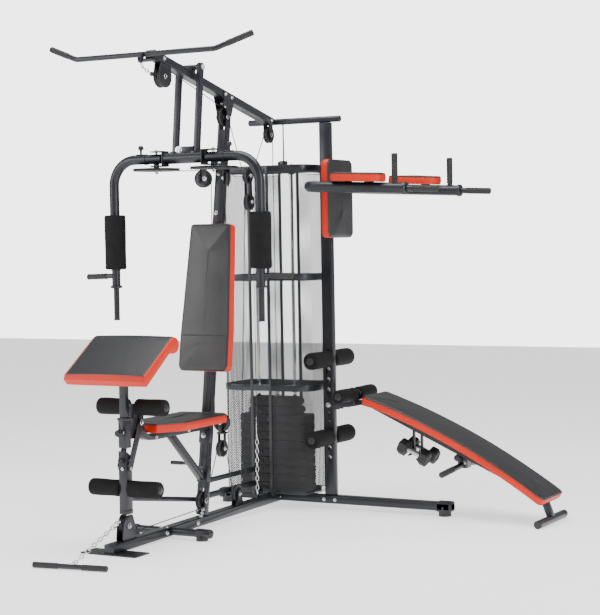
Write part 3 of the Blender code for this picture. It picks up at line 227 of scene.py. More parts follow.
M = {
    "slate": powder_coat("slate_powder_coat", (0.0125, 0.0137, 0.018)),
    "black": powder_coat("black_powder_coat", (0.006, 0.0063, 0.0075), 0.4, 0.15),
    "vinyl": vinyl("black_vinyl", (0.0095, 0.01, 0.0118)),
    "red": vinyl("red_vinyl", (0.62, 0.02, 0.004), 0.42, 0.28),
    "piping": vinyl("piping_vinyl", (0.03, 0.028, 0.03), 0.35),
    "foam": foam_rubber("black_foam"),
    "rubber": moulded("black_rubber", (0.016, 0.016, 0.017), 0.62),
    "plastic": moulded("black_plastic", (0.014, 0.014, 0.016), 0.36),
    "nylon": moulded("pulley_nylon", (0.022, 0.022, 0.025), 0.42, 900.0),
    "weight": cast_weight("weight_shell"),
    "chrome": bright("bright_chrome"),
    "zinc": bright("zinc_plate", (0.62, 0.63, 0.65), 0.28),
    # painted shade: a near-black material for the inside of the plates' pin holes
    "hole_shade": moulded("painted_hole_shade", (0.0012, 0.0012, 0.0013), 0.9),
    "screen": powder_coat("screen_steel", (0.012, 0.0125, 0.014), 0.5, 0.2),
    "cable": moulded("cable_sheath", (0.02, 0.02, 0.022), 0.3, 1500.0),
    "board": moulded("backing_board", (0.02, 0.019, 0.018), 0.7, 120.0),
}


# ---- pieces ----

def piece(name, bm, kinds, body, replaced=(), angle=32.0):
    """Makes the mesh a piece of the frame; its first kind names its material slot."""
    bmesh.ops.recalc_face_normals(bm, faces=bm.faces)
    mesh = bpy.data.meshes.new(name)
    bm.to_mesh(mesh)
    bm.free()
    mesh.shade_smooth()
    mesh.set_sharp_from_angle(angle=math.radians(angle))
    for kind in kinds:
        mesh.materials.append(M[kind])
    thing = bpy.data.objects.new(name, mesh)
    SHAPES.objects.link(thing)
    if body:
        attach(thing, body)
    if replaced:
        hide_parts(*replaced)
    return thing


def moved(x, y, z):
    return Matrix.Translation((x, y, z))


def aim(at, axis):
    """A matrix that stands local +Z along an axis at a point."""
    return Matrix.Translation(Vector(at)) @ Vector(axis).to_track_quat('Z', 'Y').to_matrix().to_4x4()


def mm(*points):
    """Points given in millimetres."""
    return [(a / 1000, b / 1000) for a, b in points]


def mark(bm, start, kind):
    """Gives the faces from a number on their material."""
    bm.faces.ensure_lookup_table()
    for face in bm.faces[start:]:
        face.material_index = kind


def absorb(bm, part, matrix, kind):
    """Moves a finished part into the mesh, in its place and of its kind."""
    if matrix:
        bmesh.ops.transform(part, matrix=matrix, verts=part.verts)
    mark(part, 0, kind)
    mesh = bpy.data.meshes.new("part")
    part.to_mesh(mesh)
    part.free()
    bm.from_mesh(mesh)
    bpy.data.meshes.remove(mesh)


def brick(bm, low, high, soft=0.0, matrix=None, kind=0, segments=2):
    """A box between two opposite corners, with its edges rounded."""
    low, high = zip(*(sorted(ends) for ends in zip(low, high)))
    part = bmesh.new()
    bmesh.ops.create_cube(part, size=1.0)
    bmesh.ops.scale(part, vec=[high[i] - low[i] for i in range(3)], verts=part.verts)
    bmesh.ops.translate(part, vec=[(high[i] + low[i]) / 2 for i in range(3)], verts=part.verts)
    if soft:
        bmesh.ops.bevel(part, geom=part.edges, offset=soft, segments=segments, profile=0.5, affect='EDGES')
    absorb(bm, part, matrix, kind)


def turned(radius, angle, centre=(0.0, 0.0)):
    """The point of a circle at an angle."""
    return centre[0] + radius * math.cos(angle), centre[1] + radius * math.sin(angle)


def around(bm, centre, half_x, half_y, low, high, soft, kind=0, segments=2):
    """An upright box about a centre, from one height to another."""
    x, y = centre[0], centre[1]
    brick(bm, (x - half_x, y - half_y, low), (x + half_x, y + half_y, high), soft, None, kind, segments)


def lathe(bm, profile, matrix, steps=32, closed=False, kind=0):
    """Turns (radius, height) points, listed from the top down, about local Z."""
    first = len(bm.faces)
    rings = []
    for radius, height in profile:
        if radius < 1e-6:
            rings.append([bm.verts.new(matrix @ Vector((0, 0, height)))])
            continue
        rings.append([bm.verts.new(matrix @ Vector((*turned(radius, math.tau * i / steps), height)))
                      for i in range(steps)])
    pairs = list(zip(rings, rings[1:])) + ([(rings[-1], rings[0])] if closed else [])
    for upper, lower in pairs:
        for i in range(steps):
            j = (i + 1) % steps
            corners = []
            for ring, k in ((upper, i), (lower, i), (lower, j), (upper, j)):
                vertex = ring[k if len(ring) > 1 else 0]
                if vertex not in corners:
                    corners.append(vertex)
            if len(corners) > 2:
                bm.faces.new(corners)
    mark(bm, first, kind)


def both_ends(upper):
    """A closed profile that is the same above and below its middle."""
    return upper + [(r, -h) for r, h in reversed(upper)]


def rod(bm, start, end, radius, steps=24, soft=None, kind=0):
    """A round bar with slightly rounded rims."""
    a, b = Vector(start), Vector(end)
    half = (b - a).length / 2
    soft = min(radius * 0.25, 0.0015) if soft is None else soft
    profile = [(0, half), (radius - soft, half), (radius, half - soft), (radius, soft - half),
               (radius - soft, -half), (0, -half)]
    lathe(bm, profile, aim((a + b) / 2, b - a), steps, kind=kind)


def frames_along(path, closed=False):
    """Parallel-transported side vectors along a path."""
    count = len(path)
    tangents = []
    for i in range(count):
        before = path[i - 1] if (i or closed) else path[0]
        after = path[(i + 1) % count] if (i < count - 1 or closed) else path[-1]
        tangents.append((after - before).normalized())
    side = tangents[0].orthogonal().normalized()
    sides = []
    for i, tangent in enumerate(tangents):
        if i:
            side = (side - tangent * side.dot(tangent)).normalized()
        sides.append(side.copy())
    return list(zip(tangents, sides))


def tube(bm, points, radius, steps=20, closed=False, soft=0.0012, kind=0):
    """A round tube swept along points, its open ends slightly rounded."""
    first = len(bm.faces)
    path = [Vector(p) for p in points]
    rings = []

    def ring(centre, tangent, side, size):
        other = tangent.cross(side)
        return [bm.verts.new(centre + (side * math.cos(t) + other * math.sin(t)) * size)
                for t in (math.tau * k / steps for k in range(steps))]

    along = frames_along(path, closed)
    for centre, (tangent, side) in zip(path, along):
        rings.append(ring(centre, tangent, side, radius))
    if not closed:
        soft = min(soft, radius * 0.5)
        (t0, s0), (t1, s1) = along[0], along[-1]
        rings.insert(0, ring(path[0] - t0 * soft, t0, s0, radius - soft))
        rings.append(ring(path[-1] + t1 * soft, t1, s1, radius - soft))
    pairs = list(zip(rings, rings[1:])) + ([(rings[-1], rings[0])] if closed else [])
    for a, b in pairs:
        shift = 0
        if closed and a is rings[-1]:
            shift = min(range(steps), key=lambda k: (a[0].co - b[k].co).length)
        for k in range(steps):
            n = (k + 1) % steps
            bm.faces.new((a[k], a[n], b[(n + shift) % steps], b[(k + shift) % steps]))
    if not closed:
        bm.faces.new(rings[0][::-1])
        bm.faces.new(rings[-1])
    mark(bm, first, kind)


def bent(points, radius, steps=10):
    """A route through the points whose corners are arcs of one radius."""
    route = [Vector(points[0])]
    for before, corner, after in zip(points, points[1:], points[2:]):
        before, corner, after = Vector(before), Vector(corner), Vector(after)
        into, out = (before - corner).normalized(), (after - corner).normalized()
        half = into.angle(out) / 2
        reach = radius / math.tan(half)
        centre = corner + (into + out).normalized() * radius / math.sin(half)
        first, last = corner + into * reach - centre, corner + out * reach - centre
        sweep = first.angle(last)
        turn = first.cross(last).normalized()
        route += [centre + Matrix.Rotation(sweep * i / steps, 3, turn) @ first for i in range(steps + 1)]
    route.append(Vector(points[-1]))
    return route


def arc(centre, radius, start, end, steps):
    """Points along an arc between two angles in degrees."""
    return [turned(radius, math.radians(start + (end - start) * i / steps), centre) for i in range(steps + 1)]


def box_outline(x0, y0, x1, y1):
    return [(x0, y0), (x1, y0), (x1, y1), (x0, y1)]


def rounded(corners, radius, steps=6):
    """A polygon with each corner rounded by an arc; corners run anticlockwise."""
    route = []
    count = len(corners)
    for i in range(count):
        before, corner, after = (Vector(corners[(i + k) % count]) for k in (-1, 0, 1))
        into, out = (before - corner).normalized(), (after - corner).normalized()
        half = math.acos(max(-1, min(1, into.dot(out)))) / 2
        reach = radius / math.tan(half)
        centre = corner + (into + out).normalized() * radius / math.sin(half)
        first, last = corner + into * reach - centre, corner + out * reach - centre
        start = math.atan2(first.y, first.x)
        sweep = (math.atan2(last.y, last.x) - start + math.pi) % math.tau - math.pi
        route += [turned(radius, start + sweep * k / steps, centre) for k in range(steps + 1)]
    return route


def spaced(outline, step):
    """The closed outline again, with points a step apart."""
    points = [Vector(p) for p in outline]
    result = []
    for a, b in zip(points, points[1:] + points[:1]):
        parts = max(1, round((b - a).length / step))
        result += [a.lerp(b, k / parts) for k in range(parts)]
    return result


def prism(bm, outline, low, high, matrix=None, soft=0.0, kind=0, segments=2):
    """A flat outline made thick from low to high along local Z, edges rounded."""
    part = bmesh.new()
    under = [part.verts.new((x, y, low)) for x, y in outline]
    over = [part.verts.new((x, y, high)) for x, y in outline]
    count = len(outline)
    top = part.faces.new(over)
    bottom = part.faces.new(under[::-1])
    for i in range(count):
        j = (i + 1) % count
        part.faces.new((under[i], under[j], over[j], over[i]))
    if soft:
        edges = list(set(top.edges) | set(bottom.edges))
        bmesh.ops.bevel(part, geom=edges, offset=soft, segments=segments, profile=0.5, affect='EDGES')
    absorb(bm, part, matrix, kind)


# turns a drawing in the plane of Y and Z upright, its thickness along X
X_PLANE = Matrix(((0, 0, 1, 0), (1, 0, 0, 0), (0, 1, 0, 0), (0, 0, 0, 1)))


def bolt(bm, at, axis, size=0.009, kind=0):
    """A washer and a domed hexagon head that stands out along the axis."""
    place = aim(at, axis)
    lathe(bm, [(0, 0.0018), (size * 1.25, 0.0018), (size * 1.4, 0.001), (size * 1.4, -0.0005), (0, -0.0005)],
          place, 20, kind=kind)
    prism(bm, [turned(size, math.tau * k / 6) for k in range(6)], 0.001, 0.0065, place, 0.0012, kind)
    lathe(bm, [(0, 0.0085), (size * 0.45, 0.0078), (size * 0.72, 0.006), (0, 0.006)], place, 18, kind=kind)


def plate_pair(bm, outline, x, half, soft):
    """The same upright plate on both sides of the middle plane."""
    for side in (-1, 1):
        prism(bm, outline, side * x - half, side * x + half, X_PLANE, soft)


def bolt_pairs(bm, kind, *spots):
    """Bolts that face outwards on both sides of the middle plane, each at (x, y, z, size)."""
    for x, y, z, size in spots:
        for side in (-1, 1):
            bolt(bm, (side * x, y, z), (side, 0, 0), size, kind)


# ---- camera, stage and light ----

def add_camera():
    """A level studio camera in front and to the right, tilted a little with the floor."""
    turn, pitch, roll = math.radians(28.709), math.radians(2.327), math.radians(-1.017)
    ahead = Vector((-math.sin(turn) * math.cos(pitch), math.cos(turn) * math.cos(pitch), -math.sin(pitch)))
    level = Vector((math.cos(turn), math.sin(turn), 0))
    upward = level.cross(ahead)
    right = math.cos(roll) * level + math.sin(roll) * upward
    up = math.cos(roll) * upward - math.sin(roll) * level
    data = bpy.data.cameras.new("camera")
    data.lens, data.sensor_width, data.clip_end = 98.15, 36.0, 50.0
    camera = bpy.data.objects.new("camera", data)
    camera.matrix_world = moved(4.0256, -5.7079, 1.2946) @ Matrix(
        (right, up, -ahead)).transposed().to_4x4()
    SHAPES.objects.link(camera)
    bpy.context.scene.camera = camera


def add_floor():
    """One large pale plane just under the feet."""
    bm = bmesh.new()
    bmesh.ops.create_grid(bm, x_segments=1, y_segments=1, size=12.0)
    mesh = bpy.data.meshes.new("studio_floor")
    bm.to_mesh(mesh)
    bm.free()
    mesh.materials.append(floor_paint("studio_floor"))
    floor = bpy.data.objects.new("studio_floor", mesh)
    floor.location = (0.3, 0.7, -0.001)
    SHAPES.objects.link(floor)


def add_light(name, at, target, size, power):
    data = bpy.data.lights.new(name, 'AREA')
    data.shape, data.size, data.size_y, data.energy = 'RECTANGLE', size[0], size[1], power
    light = bpy.data.objects.new(name, data)
    way = Vector(target) - Vector(at)
    light.matrix_world = Matrix.Translation(at) @ way.to_track_quat('-Z', 'Y').to_matrix().to_4x4()
    SHAPES.objects.link(light)


FILL, WALL_GLOW = 0.45, 4.0           # the world's light on the object, and as the backdrop seen


def add_studio():
    """A white world that is brighter to the camera than to the object, and three soft lights."""
    world = bpy.data.worlds.new("studio")
    world.use_nodes = True
    tree = world.node_tree
    back = tree.nodes["Background"]
    back.inputs["Color"].default_value = (1.0, 1.0, 1.0, 1.0)
    seen = tree.nodes.new("ShaderNodeLightPath")
    strength = tree.nodes.new("ShaderNodeMath")
    strength.operation = 'MULTIPLY_ADD'
    strength.inputs[1].default_value, strength.inputs[2].default_value = WALL_GLOW - FILL, FILL
    tree.links.new(seen.outputs["Is Camera Ray"], strength.inputs[0])
    tree.links.new(strength.outputs["Value"], back.inputs["Strength"])
    bpy.context.scene.world = world
    add_light("overhead", (0.4, 0.5, 4.6), (0.3, 0.8, 0.0), (3.6, 2.4), 210)
    add_light("left_front", (-3.4, -3.0, 2.6), (0.1, 0.7, 0.9), (1.6, 2.6), 120)
    add_light("right_side", (5.0, -0.6, 2.4), (0.4, 1.0, 1.0), (1.4, 2.6), 120)


add_camera()
add_floor()
add_studio()


# ---- CAD nodes that keep their shape ----

def refine(node, shape=None, soft=0.0014, angle=30.0):
    """Stands for a steel CAD node with the same solid, its hard edges rounded."""
    source = frame["nodes"][node]
    bm = bmesh.new()
    bm.from_mesh(source.data)
    bmesh.ops.remove_doubles(bm, verts=bm.verts, dist=2e-5)
    bmesh.ops.dissolve_limit(bm, angle_limit=math.radians(0.6), verts=bm.verts, edges=bm.edges)
    bmesh.ops.recalc_face_normals(bm, faces=bm.faces)
    if shape:
        shape(bm)
    sharp = [e for e in bm.edges if e.is_manifold and e.calc_face_angle(0) > math.radians(angle)
             and e.calc_length() > soft * 1.5]
    bmesh.ops.bevel(bm, geom=sharp, offset=soft, segments=2, profile=0.5, affect='EDGES', clamp_overlap=True)
    mark(bm, 0, 0)
    piece(node + "_body", bm, ["slate"], source["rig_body"], [node], angle=34)


# ---- sizes that the CAD frame was drawn to ----

UP_FOOT, UP_TOP, UP_DEPTH = (0.686, 0.0585), (0.9604, 1.93), 0.035
LEAN = math.atan2(UP_TOP[0] - UP_FOOT[0], UP_TOP[1] - UP_FOOT[1])
REAR_Y = 1.394
DIP_POST_X = 0.2915
DIP_NEAR, DIP_FAR, DIP_ROOT_X, DIP_END_X, DIP_TIP_X = 1.0875, 1.7005, 0.3465, 0.851, 1.005
DIP_Z, DIP_DROP, DIP_TUBE_R = 1.537, 0.045, 0.025       # the arms fall by DIP_DROP for each metre
LEVER_Y, LEVER_PIVOT_Z = 0.089, 0.345
SEAT_TOP, SEAT_UNDER = 0.522, 0.478


def on_upright(z):
    """Where the leaning upright's middle line is at a height."""
    return UP_FOOT[0] + (UP_TOP[0] - UP_FOOT[0]) * (z - UP_FOOT[1]) / (UP_TOP[1] - UP_FOOT[1])


def dip_height(x):
    return DIP_Z - DIP_DROP * (x - DIP_ROOT_X)


# ---- padded vinyl ----

SWELLING = []            # cushions waiting for the cloth simulation, with their pinned points


def inward(outline, inset):
    """The outline moved inwards along its normals, evenly enough for small insets."""
    count = len(outline)
    result = []
    for i, point in enumerate(outline):
        along = (Vector(outline[(i + 1) % count]) - Vector(outline[i - 1])).normalized()
        result.append(Vector(point) + Vector((-along.y, along.x)) * inset)
    return result


def upholster(name, bm, body, node, held):
    """Makes the mesh a padded piece, and lists it for the simulation."""
    thing = piece(name, bm, ["board", "red", "vinyl"], body, [node], angle=60)
    SWELLING.append((thing, held))


def cushion(name, outline, thick, place, body, node, crown=0.006, step=0.009, bend=None, rim=0.006):
    """An upholstered pad: board below, red boxing, a piped seam and a crowned black face.

    The outline runs anticlockwise in the plane of the pad's back; the face looks along +Z.
    bend, if given, moves each finished point, for a pad that is curved along its length."""
    bm = bmesh.new()
    outline = spaced(outline, step)
    count = len(outline)
    low, high = (Vector((pick(p.x for p in outline), pick(p.y for p in outline))) for pick in (min, max))
    middle, half = (low + high) / 2, (high - low) / 2
    long_way = 0 if half.x > half.y else 1
    reach = max(half) - min(half)

    def spine(point):
        along = max(-reach, min(reach, (point - middle)[long_way]))
        return middle + Vector((along, 0) if long_way == 0 else (0, along))

    seam = thick - rim - 0.003
    levels = [(0.01, 0.0005, 0), (0.004, 0.0005, 0), (0.0012, 0.003, 1)]
    levels += [(0.0012 - 0.0026 * math.sin(math.pi * k / 6), 0.003 + (seam - 0.003) * k / 6, 1)
               for k in range(1, 6)]
    levels += [(0.0016, seam, 1), (0.0034, seam + 0.0014, 2), (0.0022, seam + 0.0032, 2)]
    levels += [(0.0026 + rim * 0.8 * (1 - math.cos(math.pi / 2 * k / 3)),
                seam + 0.0032 + rim * math.sin(math.pi / 2 * k / 3), 2) for k in range(1, 4)]
    rings, kinds = [], []
    for inset, height, kind in levels:
        rings.append([bm.verts.new((p.x, p.y, height)) for p in inward(outline, inset)])
        kinds.append(kind)
    shoulder = inward(outline, levels[-1][0])
    top = levels[-1][1]
    for t in (0.1, 0.24, 0.4, 0.58, 0.78, 0.96):
        lift = crown * (1 - (1 - t) ** 2)
        rings.append([bm.verts.new((*p.lerp(spine(p), t), top + lift)) for p in shoulder])
        kinds.append(2)
    for lower, upper, kind in zip(rings, rings[1:], kinds[1:]):
        for i in range(count):
            j = (i + 1) % count
            face = bm.faces.new((lower[i], lower[j], upper[j], upper[i]))
            face.material_index = kind
    bm.faces.new(rings[0][::-1]).material_index = 0
    bm.faces.new(rings[-1]).material_index = 2
    bm.verts.index_update()
    groove = levels.index((0.0034, seam + 0.0014, 2))
    held = [v.index for k in (0, 1, 2, groove, groove + 1) for v in rings[k]]
    bmesh.ops.transform(bm, matrix=place, verts=bm.verts)
    if bend:
        for vert in bm.verts:
            vert.co = bend(vert.co)
    upholster(name, bm, body, node, held)
    line = [place @ Vector((p.x, p.y, seam + 0.0012)) for p in inward(outline, 0.001)]
    if bend:
        line = [bend(p) for p in line]
    cord = bmesh.new()
    tube(cord, line[::2], 0.0019, 8, closed=True)
    piece(name + "_piping", cord, ["piping"], body)


def eased(mesh, moves, held, rounds=14):
    """The moves with their small creases averaged away, because the real covers are pulled taut."""
    near = [[] for _ in moves]
    for edge in mesh.edges:
        a, b = edge.vertices
        near[a].append(b)
        near[b].append(a)
    fixed = set(held)

    def mean(i):
        return (moves[i] + sum((moves[j] for j in near[i]), Vector())) / (len(near[i]) + 1)

    for _ in range(rounds):
        moves = [way if i in fixed else mean(i) for i, way in enumerate(moves)]
    return moves


def swell(frames=18, pressure=3.5, limit=0.0045):
    """Inflates every cushion at once, keeps each point within the limit, and drops the cloth."""
    scene = bpy.context.scene
    scene.frame_start, scene.frame_end = 1, frames
    before = {}
    for thing, held in SWELLING:
        before[thing.name] = [v.co.copy() for v in thing.data.vertices]
        pins = thing.vertex_groups.new(name="held")
        pins.add(held, 1.0, 'REPLACE')
        cloth = thing.modifiers.new("cloth", 'CLOTH')
        cover = cloth.settings
        cover.quality, cover.mass = 5, 0.3
        cover.tension_stiffness = cover.compression_stiffness = 12
        cover.bending_stiffness = 0.8
        cover.use_pressure, cover.uniform_pressure_force = True, pressure
        cover.vertex_group_mass = "held"
        cover.effector_weights.gravity = 0
        cloth.collision_settings.use_collision = False
        cloth.point_cache.frame_start, cloth.point_cache.frame_end = 1, frames
    for number in range(1, frames + 1):
        scene.frame_set(number)
    graph = bpy.context.evaluated_depsgraph_get()
    for thing, held in SWELLING:
        puffed = [v.co.copy() for v in thing.evaluated_get(graph).data.vertices]
        moves = []
        for rest, blown in zip(before[thing.name], puffed):
            way = blown - rest
            moves.append(way * min(1.0, limit / max(way.length, 1e-9)))
        for vert, rest, way in zip(thing.data.vertices, before[thing.name], eased(thing.data, moves, held)):
            vert.co = rest + way
        thing.modifiers.clear()
        thing.vertex_groups.clear()
    scene.frame_set(1)


def seat():
    side = [(0.06, 0.243), (0.128, 0.362), (0.124, 0.712), (0.112, 0.724)]
    corners = [(-x, y) for x, y in side] + [(x, y) for x, y in reversed(side)]
    cushion("seat_cushion", rounded(corners[::-1], 0.01, 5), SEAT_TOP - SEAT_UNDER,
            moved(0, 0, SEAT_UNDER), "root", "seat_pad", crown=0.004)


def backrest():
    thick, low, high = 0.058, 0.699, 1.362
    half = (high - low) / 2 / math.cos(LEAN)
    side = [(0.116, -half), (0.128, -half + 0.02), (0.128, -half * 0.53), (0.105, half)]
    corners = side + [(-x, y) for x, y in reversed(side)]
    middle = (low + high) / 2
    back = UP_DEPTH / 2 + 0.0005
    centre = Vector((0, on_upright(middle) - back * math.cos(LEAN), middle + back * math.sin(LEAN)))
    place = Matrix.Translation(centre) @ Matrix.Rotation(math.pi / 2 - LEAN, 4, 'X')
    cushion("backrest_cushion", rounded(corners, 0.014, 5), thick - 0.002, place, "root", "backrest_pad")


def dip_cushions():
    place = moved(0.3355, 0, 0) @ X_PLANE
    cushion("dip_back_cushion", rounded(box_outline(1.253, 1.3, 1.505, 1.668), 0.03, 6), 0.044, place, "root",
            "dip_back_pad", crown=0.003)
    x, half_x, half_y = 0.6125, 0.1325, 0.056
    slope = Matrix.Rotation(math.atan(DIP_DROP), 4, 'Y')
    for word, y in (("near", DIP_NEAR), ("far", DIP_FAR)):
        place = moved(x, y, dip_height(x) + DIP_TUBE_R + 0.0015) @ slope
        cushion(f"dip_arm_cushion_{word}", rounded(box_outline(-half_x, -half_y, half_x, half_y), 0.052, 9),
                0.043, place, "root", f"dip_pad_{word}", crown=0.003, step=0.006)


BENCH_HEAD, BENCH_FOOT = (0.524, 0.567), (1.425, 0.127)
BENCH_RISE, BENCH_HALF, BENCH_T = 0.037, 0.129, 0.044


def bench_point(along, offset):
    """A place in the XZ plane at a share of the bench's curve, offset out of its face."""
    head, foot = Vector(BENCH_HEAD), Vector(BENCH_FOOT)
    chord = foot - head
    radius = chord.length ** 2 / (8 * BENCH_RISE) + BENCH_RISE / 2
    down = Vector((chord.y, -chord.x)).normalized()
    centre = (head + foot) / 2 + down * (radius - BENCH_RISE)
    first = math.atan2(head.y - centre.y, head.x - centre.x)
    last = math.atan2(foot.y - centre.y, foot.x - centre.x)
    x, z = turned(radius + offset, first + (last - first) * along, centre)
    return Vector((x, 0, z))


def bench_cushion():
    length = (Vector(BENCH_FOOT) - Vector(BENCH_HEAD)).length
    corners = box_outline(0.004, -BENCH_HALF, length - 0.004, BENCH_HALF)

    def bend(point):
        place = bench_point(point.x / length, point.z - BENCH_T)
        return Vector((place.x, REAR_Y + point.y, place.z))

    cushion("bench_cushion", rounded(corners, 0.022, 6), BENCH_T - 0.002, Matrix.Identity(4), "bench",
            "bench_pad", crown=0.004, step=0.012, bend=bend)


def preacher_cushion():
    """A wedge whose black face runs up over a roll; its ends and underside are red."""
    half, step = 0.203, 0.006
    roll = arc((0.178, 0.8615), 0.034, -75, 125, 16)
    near_edge = (-0.05, 0.749)
    section = [(-0.058, 0.727), (-0.036, 0.7045), (0.138, 0.829), (0.164, 0.826)] + roll + [near_edge]
    section = spaced(section, step)
    count = len(section)
    crest = max(range(count), key=lambda i: section[i].y)
    lip = min(range(count), key=lambda i: (section[i] - Vector(near_edge)).length)
    face = set(range(crest, lip + 1))
    bm = bmesh.new()
    stations = [(-half, 0.004), (-half + 0.001, 0.0016), (-half + 0.004, 0.0003), (-half + 0.012, 0.0)]
    stations += [(x, 0.0) for x in (-0.16, -0.12, -0.08, -0.04, 0.0)]
    stations += [(-x, inset) for x, inset in reversed(stations[:-1])]
    rings = []
    for x, inset in stations:
        ring = inward(section, inset)
        sag = 0.003 * (1 - (x / half) ** 2)
        rings.append([bm.verts.new((x, p.x, p.y + (sag if i in face else 0.0)))
                      for i, p in enumerate(ring)])
    for a, b in zip(rings, rings[1:]):
        inner = abs(a[0].co.x + b[0].co.x) / 2 < half - 0.01
        for i in range(count):
            j = (i + 1) % count
            quad = bm.faces.new((a[i], a[j], b[j], b[i]))
            quad.material_index = 2 if inner and i in face and j in face else 1
    for ring, flip in ((rings[0], True), (rings[-1], False)):
        bm.faces.new(ring[::-1] if flip else ring).material_index = 1
    bm.verts.index_update()
    held = [v.index for k in (0, 3, len(rings) - 4, len(rings) - 1) for v in rings[k]]
    upholster("preacher_cushion", bm, "curl_desk", "preacher_pad", held)
    cord = bmesh.new()
    edge = [section[i] for i in sorted(face)]
    for side in (-1, 1):
        x = side * (half - 0.0105)
        tube(cord, [(x, p.x, p.y + 0.0006) for p in edge], 0.0018, 8)
    for i in (crest, lip):
        p = section[i]
        tube(cord, [(x, p.x, p.y + 0.0034 * (1 - (x / half) ** 2)) for x, inset in stations[3:-3]], 0.0018, 8)
    piece("preacher_piping", cord, ["piping"], "curl_desk")


seat()
backrest()
dip_cushions()
bench_cushion()
preacher_cushion()
swell()


# ---- foam rolls ----

ROLL_AXLE = 0.0095


def foam_roll(bm, start, end, radius, plugged=True, bore=ROLL_AXLE, soft=0.009):
    """A foam sleeve between two points, perhaps with a plastic plug in its outer end."""
    a, b = Vector(start), Vector(end)
    half = (b - a).length / 2
    turns = [math.radians(90 * k / 5) for k in range(6)]
    ring = [(radius - soft + soft * math.sin(t), half - soft + soft * math.cos(t)) for t in turns]
    upper = [(bore, half - 0.004), (bore + 0.004, half - 0.0005), (radius - soft * 1.4, half)] + ring
    sides = [(radius + 0.0006 * math.sin(7 * k), half - soft - (2 * half - 2 * soft) * k / 9)
             for k in range(1, 9)]
    profile = upper + sides + both_ends(upper)[len(upper):]
    lathe(bm, profile, aim((a + b) / 2, b - a), 40, closed=True)
    if plugged:
        lathe(bm, mm((0, 2), (7.5, 1.8), (8.5, 3.4), (15, 3), (17, 1.2), (17, -3), (0, -3)),
              aim(b, b - a), 28, kind=1)


def roller_pair(name, middle, axis, half, inner, radius, body, replaced=()):
    """Two foam rolls and the bar that they share."""
    centre, out = Vector(middle), Vector(axis).normalized()
    bm = bmesh.new()
    for side in (-1, 1):
        foam_roll(bm, centre + out * side * inner, centre + out * side * half, radius)
    rolls = piece(name, bm, ["foam", "plastic"], body, replaced, angle=50)
    bar = bmesh.new()
    rod(bar, centre - out * (half - 0.01), centre + out * (half - 0.01), ROLL_AXLE)
    for side in (-1, 1):
        inside = centre + out * side * (inner - 0.0015)
        rod(bar, inside, inside + out * side * 0.003, 0.02, 28)
    piece(name + "_bar", bar, ["zinc" if replaced else "slate"], body)


roller_pair("knee_rolls", (0, 0.153, 0.599), (1, 0, 0), 0.169, 0.0235, 0.0356, "root")
roller_pair("ankle_rolls", (0, LEVER_Y, 0.261), (1, 0, 0), 0.173, 0.0205, 0.0356, "leg_developer")
for word, height in (("upper", 0.72), ("lower", 0.347)):
    roller_pair(f"post_rolls_{word}", (DIP_POST_X, REAR_Y, height), (0, 1, 0), 0.195, 0.0175, 0.0405, "root",
                [f"post_rollers_{word}"])
roller_pair("bench_rolls", (0.428, REAR_Y, 0.556), (0, 1, 0), 0.181, 0.02, 0.0321, "bench")


# ---- press frame and butterfly arms ----

ARM_Y, ARM_Z, ARM_PIVOT_X, ARM_X, ARM_R = 0.6, 1.665, 0.15, 0.382, 0.022
CAM_R, CAM_Z, FLANGE_Z = 0.108, 1.617, 1.093
POST_FOOT, POST_HEAD = (0.612, 1.672), (0.66, 2.086)
SWING_Y, SWING_Z = 0.658, 2.068


def strip_bar(bm, start, end, width, height, soft=0.003, kind=0):
    """A rectangular tube along a line in a plane of constant x; width is along X."""
    a, b = Vector(start), Vector(end)
    run = b - a
    place = moved(*(a + b) / 2) @ Matrix.Rotation(math.atan2(run.z, run.y), 4, 'X')
    half = run.length / 2
    brick(bm, (-width / 2, -half, -height / 2), (width / 2, half, height / 2), soft, place, kind, 3)


